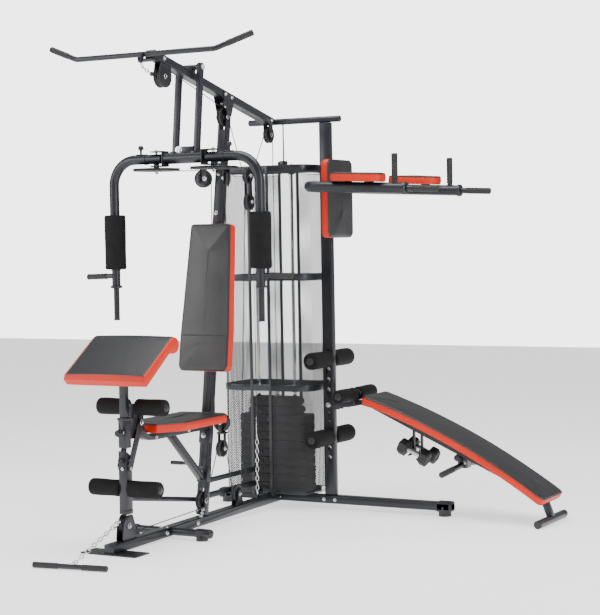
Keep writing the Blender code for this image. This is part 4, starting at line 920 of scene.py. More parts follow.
def press_frame():
    """The two posts, the cross tube, its end plates and forks, the pins and the bush."""
    bm = bmesh.new()
    rod(bm, (-0.1035, ARM_Y, ARM_Z), (0.1035, ARM_Y, ARM_Z), 0.025, 36)
    for side in (-1, 1):
        x = side * 0.0555
        foot, head = Vector((x, *POST_FOOT)), Vector((x, *POST_HEAD))
        strip_bar(bm, foot, head - Vector((0, 0, 0.003)), 0.026, 0.026, 0.004)
        lathe(bm, mm((0, 0.2), (11.5, 0), (13.8, -2), (14.2, -10), (0, -10)),
              aim(head, head - foot), 28, kind=1)
        wide = 0.028
        around(bm, (side * 0.103, ARM_Y), 0.003, wide, ARM_Z - 0.035, ARM_Z + 0.035, 0.0015)
        for z in (ARM_Z - 0.0325, ARM_Z + 0.0325):
            outline = [(side * 0.104, -wide), (side * 0.16, -wide)]
            outline += [(side * (0.16 + 0.016 * math.sin(t)), -wide * math.cos(t))
                        for t in (math.pi * k / 10 for k in range(1, 10))]
            outline += [(side * 0.16, wide), (side * 0.104, wide)]
            prism(bm, outline[::side], -0.0025, 0.0025, moved(0, ARM_Y, z), 0.0008)
        pin = side * ARM_PIVOT_X
        rod(bm, (pin, ARM_Y, 1.6), (pin, ARM_Y, 1.701), 0.006, kind=2)
        bolt(bm, (pin, ARM_Y, ARM_Z + 0.035), (0, 0, 1), 0.0085, 2)
        bolt(bm, (pin, ARM_Y, 1.6045), (0, 0, -1), 0.008, 2)
        # the weld saddle between the post and the cross tube
        brick(bm, (x - 0.0155, ARM_Y - 0.016, ARM_Z + 0.004), (x + 0.0155, ARM_Y + 0.03, ARM_Z + 0.03), 0.004)
    brick(bm, (-0.046, ARM_Y - 0.004, 1.684), (0.046, ARM_Y + 0.018, 1.716), 0.003)
    bolt_pairs(bm, 2, (0.069, SWING_Y, SWING_Z, 0.0095))
    rod(bm, (-0.068, SWING_Y, SWING_Z), (0.068, SWING_Y, SWING_Z), 0.007, kind=2)
    # the flanged bush beside the left post
    lathe(bm, mm((0, 4), (5, 4), (5, 6.2), (9, 6.2), (10.5, 4.2), (16.5, 3.5), (18, 1.5), (18, -3), (0, -3)),
          aim((-0.028, ARM_Y - 0.004, 1.7), (0, -1, 0)), 32, kind=2)
    piece("press_swing_frame", bm, ["slate", "plastic", "zinc"], "press", ["press_frame"])


def butterfly_arm(side, word):
    """The bent arm with its cam, foam sleeve, grips, flange, lock knob and collar."""
    body = word + "_arm"
    x, pin = side * ARM_X, side * ARM_PIVOT_X
    bm = bmesh.new()
    route = bent([(side * 0.118, ARM_Y, ARM_Z), (x, ARM_Y, ARM_Z), (x, ARM_Y, 1.17)], 0.115, 20)
    tube(bm, route, ARM_R, 32)
    rod(bm, (x, ARM_Y, 1.18), (x, ARM_Y, FLANGE_Z), 0.019, 32)
    lathe(bm, mm((0, 7.5), (18, 7.2), (26, 5), (26.5, 1.5), (26.2, -5), (18.5, -6.8), (0, -6.8)),
          moved(x, ARM_Y, FLANGE_Z), 36, kind=1)
    grip = [(0, 0.0), (0.012, 0.0), (0.013, -0.004)]
    top = FLANGE_Z - 0.004
    length = top - 0.94                # the press stub ends 0.94 m above the floor
    for k in range(22):
        z = -0.01 - (length - 0.02) * k / 21
        grip += [(0.0132, z + 0.0022), (0.0132, z - 0.0008), (0.0125, z - 0.0014), (0.0125, z - 0.0024)]
    grip += [(0.0142, 0.006 - length), (0.0142, 0.0015 - length), (0.012, -length), (0, -length)]
    lathe(bm, grip, moved(x, ARM_Y, top), 24, kind=2)
    start, end = Vector((x, ARM_Y, 1.143)), Vector((x + side * 0.158, ARM_Y, 1.139))
    rod(bm, start, start.lerp(end, 0.45), 0.0112, 24)
    rod(bm, start.lerp(end, 0.3), end, 0.013, 28, 0.003, kind=2)
    for step in (0.34, 0.965):
        at = start.lerp(end, step)
        lathe(bm, mm((0, 2.5), (12.8, 2.2), (14.2, 1), (14.2, -1), (12.8, -2.2), (0, -2.5)),
              aim(at, end - start), 28, kind=2)
    rod(bm, (pin, ARM_Y, CAM_Z), (pin, ARM_Y, 1.644), 0.0125, 28)
    rim, floor, half = CAM_R, CAM_R - 0.0065, 0.005
    web = rim - 0.018
    cam = [(0.014, half), (0.024, half - 0.0006), (0.027, half - 0.0022), (web, half - 0.0022),
           (web + 0.004, half), (rim - 0.0008, half), (rim, half - 0.0008), (rim, half * 0.56),
           (floor, half * 0.5)]
    lathe(bm, both_ends(cam), moved(pin, ARM_Y, CAM_Z), 64, closed=True, kind=2)
    # the sprung lock knob and its plate on top of the tube
    knob_x = side * 0.232
    around(bm, (knob_x, ARM_Y), 0.02, 0.012, ARM_Z + 0.0205, ARM_Z + 0.0245, 0.001)
    lathe(bm, mm((0, 40), (7.5, 38.5), (11.8, 34), (13, 28), (11.2, 21.5), (5.5, 18.5), (4.8, 0), (0, 0)),
          moved(knob_x, ARM_Y, ARM_Z + 0.024), 28, kind=2)
    # the adjusting collar with its clip below the tube
    lathe(bm, mm((22.5, 6), (24.5, 5), (24.5, -5), (22.5, -6)),
          aim((side * 0.205, ARM_Y, ARM_Z), (1, 0, 0)), 36, closed=True)
    # a dark rubber plug in the drop of the tube, painted shade for its locking hole
    rod(bm, (x, ARM_Y - ARM_R - 0.0004, 1.462), (x, ARM_Y - 0.01, 1.462), 0.0062, 18, 0.0004, kind=2)
    piece(word + "_butterfly_arm", bm, ["slate", "plastic", "rubber"], body, [word + "_fly_arm"])
    foam = bmesh.new()
    foam_roll(foam, (x, ARM_Y, 1.172), (x, ARM_Y, 1.419), 0.048, False, ARM_R + 0.0004, 0.007)
    roll = piece(word + "_arm_foam", foam, ["foam"], body, [word + "_fly_foam"], angle=50)


press_frame()
for number, word in SIDES:
    butterfly_arm(number, word)


# ---- pulleys ----

PULLEY_HALF, GROOVE, RIDE, CABLE_R = 0.009, 0.0075, 0.0042, 0.0022
BIG_WHEEL, SLOT_WHEEL, WHEEL = 0.048, 0.045, 0.041        # the radii of the fixed pulleys
BLOCK_TOP_WHEEL, BLOCK_CROSS_WHEEL, BLOCK_LOW_WHEEL = 0.038, 0.042, 0.04
PRESS_PULLEY = (0.062, 0.854)
LAT_PULLEY, UPPER_SLOT, REAR_TOP = (0.435, 2.012), (0.936, 1.864), (1.3572, 1.802)
LOW_PULLEY, LOWER_SLOT, REAR_LOW = (0.084, 0.104), (0.684, 0.124), (0.996, 0.112)
BLOCK_A_TOP, BLOCK_A_LOW = (1.15, 1.6), (1.157, 1.476)
BLOCK_B_TOP, BLOCK_B_LOW = (0.872, 0.458), (0.868, 0.338)
WHEELS = {"lat_pulley": (LAT_PULLEY, BIG_WHEEL), "upper_slot_pulley": (UPPER_SLOT, SLOT_WHEEL),
          "rear_top_pulley": (REAR_TOP, WHEEL), "low_pulley": (LOW_PULLEY, WHEEL),
          "lower_slot_pulley": (LOWER_SLOT, WHEEL), "rear_low_pulley": (REAR_LOW, WHEEL)}
PRESS_Z = CAM_Z - WHEEL + RIDE


def tangent(a, ra, b, rb):
    """Where a straight run leaves circle a and meets circle b."""
    away = math.atan2(b[1] - a[1], b[0] - a[0])
    turn = away + math.acos((ra - rb) / math.hypot(b[0] - a[0], b[1] - a[1]))
    return turned(ra, turn, a), turned(rb, turn, b)


CAM_GROOVE = CAM_R - RIDE + 0.0015
PRESS_LEAVE, PRESS_MEET = (Vector(p) for p in tangent((-ARM_PIVOT_X, ARM_Y), CAM_GROOVE,
                                                     (-PRESS_PULLEY[0], PRESS_PULLEY[1]), 0.0))
PRESS_HEADING = (PRESS_MEET - PRESS_LEAVE).normalized()


def press_axle(side):
    """The direction of a press pulley's axle."""
    return Vector((PRESS_HEADING.y, side * PRESS_HEADING.x, 0))


def wheel(bm, centre, radius, along, half=PULLEY_HALF):
    """A moulded sheave: flanged groove, thin web with five ribs, and a hub."""
    place = aim(centre, along)
    floor, hub, bore = radius - GROOVE, 0.0115, 0.0049
    rib, web = hub - 0.001, floor - 0.0035
    lathe(bm, both_ends([(floor - 0.004, half * 0.8), (radius - 0.0012, half), (radius, half - 0.001),
                         (radius - 0.0006, half * 0.62), (floor + 0.0012, half * 0.36),
                         (floor, half * 0.18)]), place, 48, closed=True)
    lathe(bm, both_ends([(bore, half + 0.0008), (rib, half + 0.0008), (hub, half)]), place, 28, closed=True)
    lathe(bm, both_ends([(rib, 0.0016), (web, 0.0016)]), place, 36, closed=True)
    for k in range(5):
        spin = place @ Matrix.Rotation(math.tau * k / 5, 4, 'Z')
        brick(bm, (rib, -0.0011, -half * 0.75), (web, 0.0011, half * 0.75), 0.0004, spin)


def pulleys():
    spots = [(name, (0, *centre), radius, (1, 0, 0)) for name, (centre, radius) in WHEELS.items()]
    spots += [(f"press_pulley_{word}", (side * PRESS_PULLEY[0], PRESS_PULLEY[1], PRESS_Z), WHEEL,
               press_axle(side)) for side, word in SIDES]
    for name, centre, radius, axle in spots:
        bm = bmesh.new()
        wheel(bm, centre, radius, axle)
        piece(name + "_wheel", bm, ["nylon"], name + "_body", [name])


def block(name, body, top, low, twist):
    """Two wheels between straps; a twisted block's upper wheel turns about Y."""
    (ty, tz), (ly, lz) = top, low
    strap, thick, half, face, nut, axle = 0.015, 0.0035, 0.0095, 0.01695, 0.0068, 0.0046
    join_z = tz - 0.048 if twist else tz
    bm = bmesh.new()
    wheel(bm, (0, ly, lz), BLOCK_LOW_WHEEL, (1, 0, 0), half)
    rod(bm, (-0.019, ly, lz), (0.019, ly, lz), axle, kind=2)
    bolt_pairs(bm, 2, (face, ly, lz, nut))
    for x in (-strap, strap):
        over = 0.006 if twist else 0.014
        strip_bar(bm, (x, ly, lz - 0.014), (x, ty, join_z + over), thick, 0.02, 0.001, 1)
    if twist:
        wheel(bm, (0, ty, tz), BLOCK_CROSS_WHEEL, (0, 1, 0), half)
        around(bm, (0, ty), 0.019, 0.019, join_z - 0.004, join_z + 0.003, 0.001, 1)
        for side in (-1, 1):
            around(bm, (0, ty + side * strap), 0.01, thick / 2, join_z - 0.002, tz + 0.014, 0.001, 1)
            bolt(bm, (0, ty + side * face, tz), (0, side, 0), nut, 2)
        rod(bm, (0, ty - 0.018, tz), (0, ty + 0.018, tz), axle, kind=2)
    else:
        wheel(bm, (0, ty, tz), BLOCK_TOP_WHEEL, (1, 0, 0), half)
        rod(bm, (-0.019, ty, tz), (0.019, ty, tz), axle, kind=2)
        bolt_pairs(bm, 2, (face, ty, tz, nut))
    piece(name + "_pair", bm, ["nylon", "black", "zinc"], body, [name])


pulleys()
block("floating_block_upper", "block_upper", BLOCK_A_TOP, BLOCK_A_LOW, False)
block("floating_block_lower", "block_lower", BLOCK_B_TOP, BLOCK_B_LOW, True)


# ---- weight stack ----

PLATES, PITCH, PLATE_FOOT = 9, 0.0411, 0.0785
PLATE_W, PLATE_D = 0.36, 0.13
PIN_RISE = 0.0205                     # from a plate's underside to its pin hole
ROD_X = 0.1
STACK_TOP = PLATE_FOOT + PLATES * PITCH


def block_slab(bm, half_w, half_d, low, high, pins=False, corner=0.02):
    """A moulded slab: soft edges, a waist line, ribbed side cheeks and a raised centre column."""
    outline = rounded(box_outline(-half_w, -half_d, half_w, half_d), corner, 6)
    prism(bm, outline, low, high, moved(0, REAR_Y, 0), 0.008, 0, 3)
    height = high - low
    for side in (-1, 1):
        y = REAR_Y + side * (half_d + 0.0002)
        for way in (-1, 1):
            brick(bm, (way * 0.046, y - side * 0.003, low + height * 0.34),
                  (way * (half_w - 0.024), y + side * 0.0018, high - height * 0.22), 0.002)
        brick(bm, (-0.027, y - side * 0.002, low + 0.002), (0.027, y + side * 0.0022, high - 0.002), 0.0016)
        for k in range(5):
            y = REAR_Y + (k - 2) * half_d * 0.32
            brick(bm, (side * (half_w - 0.002), y - 0.0045, low + height * 0.2),
                  (side * (half_w + 0.0018), y + 0.0045, high - height * 0.2), 0.0014)
    if pins:
        z, front = low + PIN_RISE, REAR_Y - half_d - 0.003
        rim, hole, back = 0.0098, 0.0064, front + 0.006
        for side in (-1, 1):
            brick(bm, (side * rim, front, z - rim), (side * hole, back, z + rim), 0.0008)
            brick(bm, (-rim, front, z + side * rim), (rim, back, z + side * hole), 0.0008)
        # a near-black slab behind the pin hole, painted shade for the hole's depth
        brick(bm, (-0.0086, front + 0.001, z - 0.0086), (0.0086, front + 0.004, z + 0.0086), 0.0002, kind=1)


def weight_stack():
    """The plates, the two tier head with its rod and bushes, and the selector pin."""
    for number in range(1, PLATES + 1):
        low = PLATE_FOOT + (PLATES - number) * PITCH
        bm = bmesh.new()
        block_slab(bm, PLATE_W / 2, PLATE_D / 2, low + 0.0006, low + PITCH - 0.0012, True)
        name = f"weight_plate_{number}"
        piece(name + "_shell", bm, ["weight", "hole_shade"], "weight_carriage" if number == 1 else "root", [name])
    bm = bmesh.new()
    block_slab(bm, 0.131, PLATE_D / 2, STACK_TOP + 0.0004, STACK_TOP + 0.038, corner=0.034)
    block_slab(bm, 0.126, PLATE_D / 2 - 0.003, STACK_TOP + 0.0405, STACK_TOP + 0.082, corner=0.036)
    rod(bm, (0, REAR_Y, PLATE_FOOT + 0.006), (0, REAR_Y, STACK_TOP + 0.112), 0.0095, 24, kind=1)
    lathe(bm, mm((0, 14), (10, 13), (14, 10), (14, 0), (0, 0)),
          moved(0, REAR_Y, STACK_TOP + 0.082), 6, kind=1)
    for x in (-ROD_X, ROD_X):
        lathe(bm, mm((8.5, 7), (16.5, 6), (18, 3), (18, 0), (8.5, 0)),
              moved(x, REAR_Y, STACK_TOP + 0.0815), 28, closed=True, kind=2)
    piece("weight_head_shell", bm, ["weight", "zinc", "plastic"], "weight_carriage", ["weight_head"])
    z = PLATE_FOOT + (PLATES - 1) * PITCH + PIN_RISE
    front = REAR_Y - PLATE_D / 2
    bm = bmesh.new()
    rod(bm, (0, front - 0.022, z), (0, REAR_Y + 0.008, z), 0.004, 20)
    lathe(bm, mm((0, 24.5), (7, 23.5), (9.8, 20), (10, 16), (8, 12), (7.2, 6), (9.2, 3), (9.2, 0), (0, 0)),
          aim((0, front - 0.003, z), (0, -1, 0)), 28, kind=1)
    piece("selector_pin_knob", bm, ["chrome", "plastic"], "selector", ["selector_pin"])


weight_stack()


# ---- cables ----

def wrapped(name, points, body):
    """A stretch of cable that rides on one body, or on none yet."""
    bm = bmesh.new()
    tube(bm, points, CABLE_R, 12)
    return piece(name, bm, ["cable"], body)


def straight(name, start, end, body, other):
    """A taut run of cable that leaves one body and meets another."""
    a, b = Vector(start), Vector(end)
    thing = wrapped(name, [a.lerp(b, k / 9) for k in range(10)], body if body == other else None)
    if body != other:
        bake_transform(thing)
        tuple(start)
        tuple(end)


def lay(name, start, wheels, end, last_body, first_body):
    """A cable in the machine's middle plane: runs between wheels, and the wraps round them.

    A wheel's radius is negative where the cable turns the other way round it."""
    stops = [(start, 0.0, first_body)] + wheels + [(end, 0.0, last_body)]
    runs = [tangent(a[0], a[1], b[0], b[1]) for a, b in zip(stops, stops[1:])]
    for number, ((leave, meet), a, b) in enumerate(zip(runs, stops, stops[1:])):
        straight(f"{name}_run_{number}", (0, *leave), (0, *meet), a[2], b[2])
    for number, ((centre, radius, body), into, out) in enumerate(zip(wheels, runs, runs[1:])):
        first, last = (math.atan2(z - centre[1], y - centre[0]) for y, z in (into[1], out[0]))
        sweep = (last - first) % math.tau - (math.tau if radius > 0 else 0)
        wrapped(f"{name}_wrap_{number}", [(0, *turned(abs(radius), first + sweep * k / 16, centre))
                                          for k in range(17)], body)


CHAIN_TOP, CHAIN_FOOT = (1.1915, 0.44), (1.186, 0.078)


def ring_link(bm, centre, along, across, length, width, wire, kind=0):
    """One oval chain link in the plane of two directions."""
    points = []
    for end in (1, -1):
        for k in range(7):
            far, wide = turned(width / 2, math.pi * k / 6 - math.pi / 2, ((length - width) / 2, 0))
            points.append(centre + (along * far + across * wide) * end)
    tube(bm, points, wire, 8, closed=True, kind=kind)


def chain(bm, start, end, length, width, wire, kind=0):
    a, b = Vector(start), Vector(end)
    along = (b - a).normalized()
    one = along.orthogonal().normalized()
    two = along.cross(one)
    pitch = length - 2.2 * wire
    count = max(1, round(((b - a).length - length) / pitch) + 1)
    spare = ((b - a).length - length) / max(1, count - 1)
    for k in range(count):
        ring_link(bm, a + along * (length / 2 + spare * k), along, one if k % 2 else two, length, width, wire,
                  kind)


def snap_hook(bm, at, along, size=0.03, kind=0):
    """A pear-shaped spring hook with its gate."""
    along = Vector(along).normalized()
    across = along.cross(Vector((1, 0, 0))).normalized()
    points = []
    for k in range(20):
        t = math.tau * k / 20
        wide = size * (0.3 + 0.06 * math.cos(t))
        points.append(Vector(at) + along * size * 0.62 * math.cos(t) + across * wide * math.sin(t))
    tube(bm, points, size * 0.085, 10, closed=True, kind=kind)
    rod(bm, points[4], points[8], size * 0.1, 14, kind=kind)


def cables():
    """The lat, low and press cables with their stopper, end tab, chain and collar."""
    ride, slot_ride = WHEEL - RIDE, SLOT_WHEEL - RIDE
    top_ride, cross_ride, low_ride = BLOCK_TOP_WHEEL - RIDE, BLOCK_CROSS_WHEEL - RIDE, BLOCK_LOW_WHEEL - RIDE
    head_top = (REAR_Y, STACK_TOP + 0.1125)
    lay("lat_cable", (0.35, 2.016),
        [(LAT_PULLEY, BIG_WHEEL - RIDE, "root"), (UPPER_SLOT, slot_ride, "root"),
         (BLOCK_A_TOP, -top_ride, "block_upper"), (REAR_TOP, ride, "root")],
        head_top, "weight_carriage", "lat_bar_body")
    lay("low_cable", (0.042, 0.134),
        [(LOW_PULLEY, -ride, "root"), (LOWER_SLOT, -ride, "root"), (BLOCK_B_LOW, low_ride, "block_lower"),
         (REAR_LOW, -ride, "root"), (BLOCK_A_LOW, low_ride, "block_upper")],
        CHAIN_TOP, "root", "low_bar_body")
    start = math.degrees(math.atan2(PRESS_LEAVE.y - ARM_Y, PRESS_LEAVE.x + ARM_PIVOT_X))
    for side, word in SIDES:
        cam = [(-side * x, y, CAM_Z)
               for x, y in arc((-ARM_PIVOT_X, ARM_Y), CAM_GROOVE, start, start + 60, 14)]
        wrapped(f"press_cable_cam_{word}", cam, f"{word}_arm")
        over = [(side * (PRESS_PULLEY[0] - PRESS_HEADING.x * out), PRESS_PULLEY[1] + PRESS_HEADING.y * out, z)
                for out, z in arc((0, PRESS_Z), ride, 90, 0, 10)]
        straight(f"press_cable_level_{word}", cam[0], over[0], "press", "root")
        wrapped(f"press_cable_over_{word}", over, "root")
        under = [(side * x, BLOCK_B_TOP[0], z) for x, z in arc((0, BLOCK_B_TOP[1]), cross_ride, 0, -90, 10)]
        straight(f"press_cable_drop_{word}", over[-1], under[0], "root", "block_lower")
        wrapped(f"press_cable_under_{word}", under, "block_lower")
    stopper = bmesh.new()
    lathe(stopper, mm((0, 10), (6, 8.5), (9.5, 4), (9.5, -4), (6, -8.5), (0, -10)),
          aim((0, 0.352, 2.0165), (0, 1, 0.05)), 24)
    piece("lat_cable_stopper", stopper, ["rubber"], "lat_bar_body", ["lat_cable"])
    tab = bmesh.new()
    outline = rounded(box_outline(-0.0045, -0.045, 0.0045, 0.045), 0.0042, 5)
    middle = Vector((0, CHAIN_TOP[0], CHAIN_TOP[1] - 0.036))
    prism(tab, outline, -0.0012, 0.0012, moved(*middle) @ X_PLANE, 0.0004)
    for z in (0.036, 0.012, -0.012, -0.036):
        lathe(tab, mm((1.2, 1.8), (3, 1.8), (3, -1.8), (1.2, -1.8)),
              aim(middle + Vector((0, 0, z)), (1, 0, 0)), 18, closed=True)
    chain(tab, (0, 1.1912, middle.z - 0.038), (0, *CHAIN_FOOT), 0.026, 0.013, 0.0017)
    piece("stack_chain", tab, ["chrome"], "root", ["low_cable"])
    collar = bmesh.new()
    lathe(collar, mm((0, 16), (4.2, 15), (6, 10), (6, 0), (0, 0)),
          moved(0, REAR_Y, head_top[1] - 0.001), 20)
    piece("head_cable_collar", collar, ["zinc"], "weight_carriage", ["press_cable"])


cables()


# ---- bars that hang on the cables ----

def ribbed(radius, length, ribs, swell_by=0.0012):
    """A rubber sleeve's profile, ribbed along its length, from the top down."""
    wide = radius + swell_by
    profile = [(0, 0), (radius, 0), (wide, -0.002)]
    for k in range(ribs):
        z = -0.005 - (length - 0.01) * k / (ribs - 1)
        profile += [(wide, z + 0.0014), (radius + swell_by * 0.35, z), (wide, z - 0.0014)]
    return profile + [(wide, 0.002 - length), (radius, -length), (0, -length)]


def lat_bar():
    """The bent bar with ribbed ends, its lug, snap hook and short chain."""
    y, z, tip = 0.296, 2.0965, (0.516, 0.038, 0.058)
    ends = [Vector((s * tip[0], y + tip[1], z + tip[2])) for s in (-1, 1)]
    bends = [Vector((s * 0.355, y, z)) for s in (-1, 1)]
    bm = bmesh.new()
    tube(bm, bent([ends[0], bends[0], bends[1], ends[1]], 0.06, 10), 0.0119, 24)
    for end, corner in zip(ends, bends):
        out = (end - corner).normalized()
        lathe(bm, ribbed(0.0122, 0.12, 22), aim(end + out * 0.0012, out), 24, kind=1)
    outline = [(0.3, 2.1), (0.278, 2.1), (0.262, 2.068), (0.264, 2.06), (0.269, 2.056), (0.275, 2.057),
               (0.279, 2.062)]
    prism(bm, outline, -0.003, 0.003, X_PLANE, 0.0006)
    snap_hook(bm, (0, 0.277, 2.05), (0, 0.45, -0.75), 0.026, 2)
    chain(bm, (0, 0.283, 2.04), (0, 0.345, 2.017), 0.024, 0.013, 0.0018, 2)
    piece("lat_bar_tube", bm, ["slate", "rubber", "zinc"], "lat_bar_body", ["lat_bar"])


def low_bar():
    """The straight bar on the floor with its eye, chain, snap hook and cable end."""
    out = Matrix.Rotation(0.13, 3, 'Z') @ Vector((1, 0, 0))
    middle = Vector((0.034, -0.359, 0.0125))
    bm = bmesh.new()
    rod(bm, middle - out * 0.15936, middle + out * 0.15936, 0.0106, 24)
    for side in (-1, 1):
        lathe(bm, ribbed(0.011, 0.112, 20), aim(middle + out * side * 0.166, out * side), 24, kind=1)
    eye = Vector((0.034, -0.3465, 0.0135))
    ring_link(bm, eye + Vector((0, 0.002, 0.004)), Vector((0, 0.85, 0.5)).normalized(), Vector((1, 0, 0)),
              0.026, 0.018, 0.0022, 2)
    hook = Vector((0.0, 0.036, 0.128))
    way = (hook - eye).normalized()
    chain(bm, eye + way * 0.01, hook - way * 0.045, 0.03, 0.0135, 0.002, 2)
    snap_hook(bm, hook - way * 0.03, way, 0.034, 2)
    lathe(bm, mm((0, 11), (5, 10), (7.2, 4), (7.2, -6), (4.5, -10), (0, -10)),
          aim(hook + way * 0.004, way), 20, kind=2)
    piece("low_bar_tube", bm, ["slate", "rubber", "chrome"], "low_bar_body", ["low_bar"])


lat_bar()
low_bar()


# ---- mesh curtains ----

SHROUD_X, SHROUD_Y, SHROUD_ROUND = (-0.235, 0.2495), (1.25, 1.56), 0.07
SLOT_LEFT, SLOT_RIGHT = -0.058, 0.043
PANEL_TOP, PANEL_FOOT = 1.612, 0.08


def curtain(side, word):
    """Expanded mesh that wraps one side of the stack: crossing strands and dark edge trims."""
    inset = 0.005
    x0, x1 = SHROUD_X[0] + inset, SHROUD_X[1] - inset
    y0, y1 = SHROUD_Y[0] + inset, SHROUD_Y[1] - inset
    radius = SHROUD_ROUND - inset
    if side < 0:
        corners = [(SLOT_LEFT, y1)] + arc((x0 + radius, y1 - radius), radius, 90, 180, 10)
        corners += arc((x0 + radius, y0 + radius), radius, 180, 270, 10) + [(SLOT_LEFT, y0)]
    else:
        corners = [(SLOT_RIGHT, y0)] + arc((x1 - radius, y0 + radius), radius, -90, 0, 10)
        corners += arc((x1 - radius, y1 - radius), radius, 0, 90, 10) + [(SLOT_RIGHT, y1)]
    path = [Vector(p) for p in corners]
    lengths = [0.0]
    for a, b in zip(path, path[1:]):
        lengths.append(lengths[-1] + (b - a).length)
    whole = lengths[-1]

    def along(distance):
        for k in range(len(path) - 1):
            if distance <= lengths[k + 1] or k == len(path) - 2:
                share = (distance - lengths[k]) / (lengths[k + 1] - lengths[k])
                way = (path[k + 1] - path[k]).normalized()
                return path[k].lerp(path[k + 1], share), Vector((way.y, -way.x))

    cell, half, thick = 0.0122, 0.0017, 0.0005      # a strand is 2 * half wide
    columns = round(whole / cell)
    rows = round((PANEL_TOP - PANEL_FOOT) / cell)
    grid = [along(whole * k / columns) for k in range(columns + 1)]
    bm = bmesh.new()
    for lean in (-1, 1):
        lift = 0.0003 * lean
        starts = range(-columns, rows) if lean > 0 else range(0, rows + columns)
        for start in starts:
            rings = []
            for k in range(columns + 1):
                row = start + k * lean
                if not 0 <= row <= rows:
                    continue
                (point, normal), z = grid[k], PANEL_FOOT + (PANEL_TOP - PANEL_FOOT) * row / rows
                ring = []
                for up, out in ((half, 0), (0, thick), (-half, 0), (0, -thick)):
                    place = point + normal * (lift + out)
                    ring.append(bm.verts.new((place.x, place.y, z + up)))
                rings.append(ring)
            for a, b in zip(rings, rings[1:]):
                for k in range(4):
                    n = (k + 1) % 4
                    bm.faces.new((a[k], a[n], b[n], b[k]))
            if len(rings) > 1:
                bm.faces.new(rings[0][::-1])
                bm.faces.new(rings[-1])
            elif rings:
                bmesh.ops.delete(bm, geom=rings[0], context='VERTS')
    for z in (PANEL_FOOT, PANEL_TOP):
        tube(bm, [(*p, z) for p in path], 0.0018, 8)
    for end in (path[0], path[-1]):
        around(bm, end, 0.0035, 0.0022, PANEL_FOOT - 0.002, PANEL_TOP + 0.002, 0.0006)
    piece(f"mesh_curtain_{word}", bm, ["screen"], "root", [f"shroud_{word}"])


for number, word in SIDES:
    curtain(number, word)


# ---- dip station ----

def dip_station():
    """The two arms with their collars, ribbed tips, upright grips and pad brackets."""
    bm = bmesh.new()
    for y, toward in ((DIP_NEAR, 1), (DIP_FAR, -1)):
        route = bent([(DIP_ROOT_X, y + toward * 0.145, DIP_Z), (DIP_ROOT_X, y, DIP_Z),
                      (DIP_END_X, y, dip_height(DIP_END_X))], 0.045, 14)
        tube(bm, route, DIP_TUBE_R, 36)
        end, tip = (Vector((x, y, dip_height(x))) for x in (DIP_END_X, DIP_TIP_X))
        way = (tip - end).normalized()
        lathe(bm, mm((15, 6.5), (25, 6), (28.5, 3), (29, -2), (28.8, -10.5), (24.5, -12.5), (15, -12.5)),
              aim(end, way), 40, closed=True, kind=1)
        rod(bm, end - way * 0.015, tip - way * 0.004, 0.0138, 28)
        lathe(bm, ribbed(0.014, 0.118, 26), aim(tip, way), 28, kind=2)
        grip_x, grip_top = 0.798, 1.672
        foot = dip_height(grip_x) + 0.02
        rod(bm, (grip_x, y, foot), (grip_x, y, grip_top - 0.004), 0.012, 24)
        lathe(bm, ribbed(0.013, grip_top - foot - 0.014, 24, 0.0014), moved(grip_x, y, grip_top), 28, kind=2)
        lathe(bm, mm((12.5, 6), (16.5, 4), (18, 0), (12.5, -1)),
              moved(grip_x, y, foot + 0.001), 28, closed=True)
        for x in (0.555, 0.67):
            around(bm, (x, y), 0.011, 0.03, dip_height(x) + 0.0235, dip_height(x) + 0.0262, 0.0008)
    brick(bm, (0.322, 1.205, 1.512), (0.33, 1.583, 1.562), 0.002, segments=3)
    for z in (1.525, 1.549):
        for y in (1.38, 1.408):
            bolt(bm, (0.3302, y, z), (1, 0, 0), 0.006, 3)
    piece("dip_arms", bm, ["slate", "plastic", "rubber", "zinc"], "root", ["dip_frame"])


dip_station()


# ---- sit-up bench details ----

BENCH_BAR = (1.403, 0.0185)
CLAMP_X = 0.985


def knob(bm, at, axis, radius, depth, kind, lobes):
    """A moulded hand knob with a recessed crown; lobes stand out of its rim."""
    place = aim(at, axis)
    lathe(bm, [(0, depth * 0.82), (radius * 0.5, depth * 0.84), (radius * 0.62, depth),
               (radius * 0.88, depth * 0.97), (radius, depth * 0.8), (radius, depth * 0.42),
               (radius * 0.72, depth * 0.24), (radius * 0.5, 0.0), (0, 0.0)], place, 30, kind=kind)
    for k in range(lobes):
        spot = place @ Vector((*turned(radius * 0.97, math.tau * k / lobes), depth * 0.62))
        lathe(bm, [(0, depth * 0.24), (radius * 0.13, depth * 0.2), (radius * 0.15, 0),
                   (radius * 0.13, -depth * 0.2), (0, -depth * 0.24)], aim(spot, axis), 10, kind=kind)


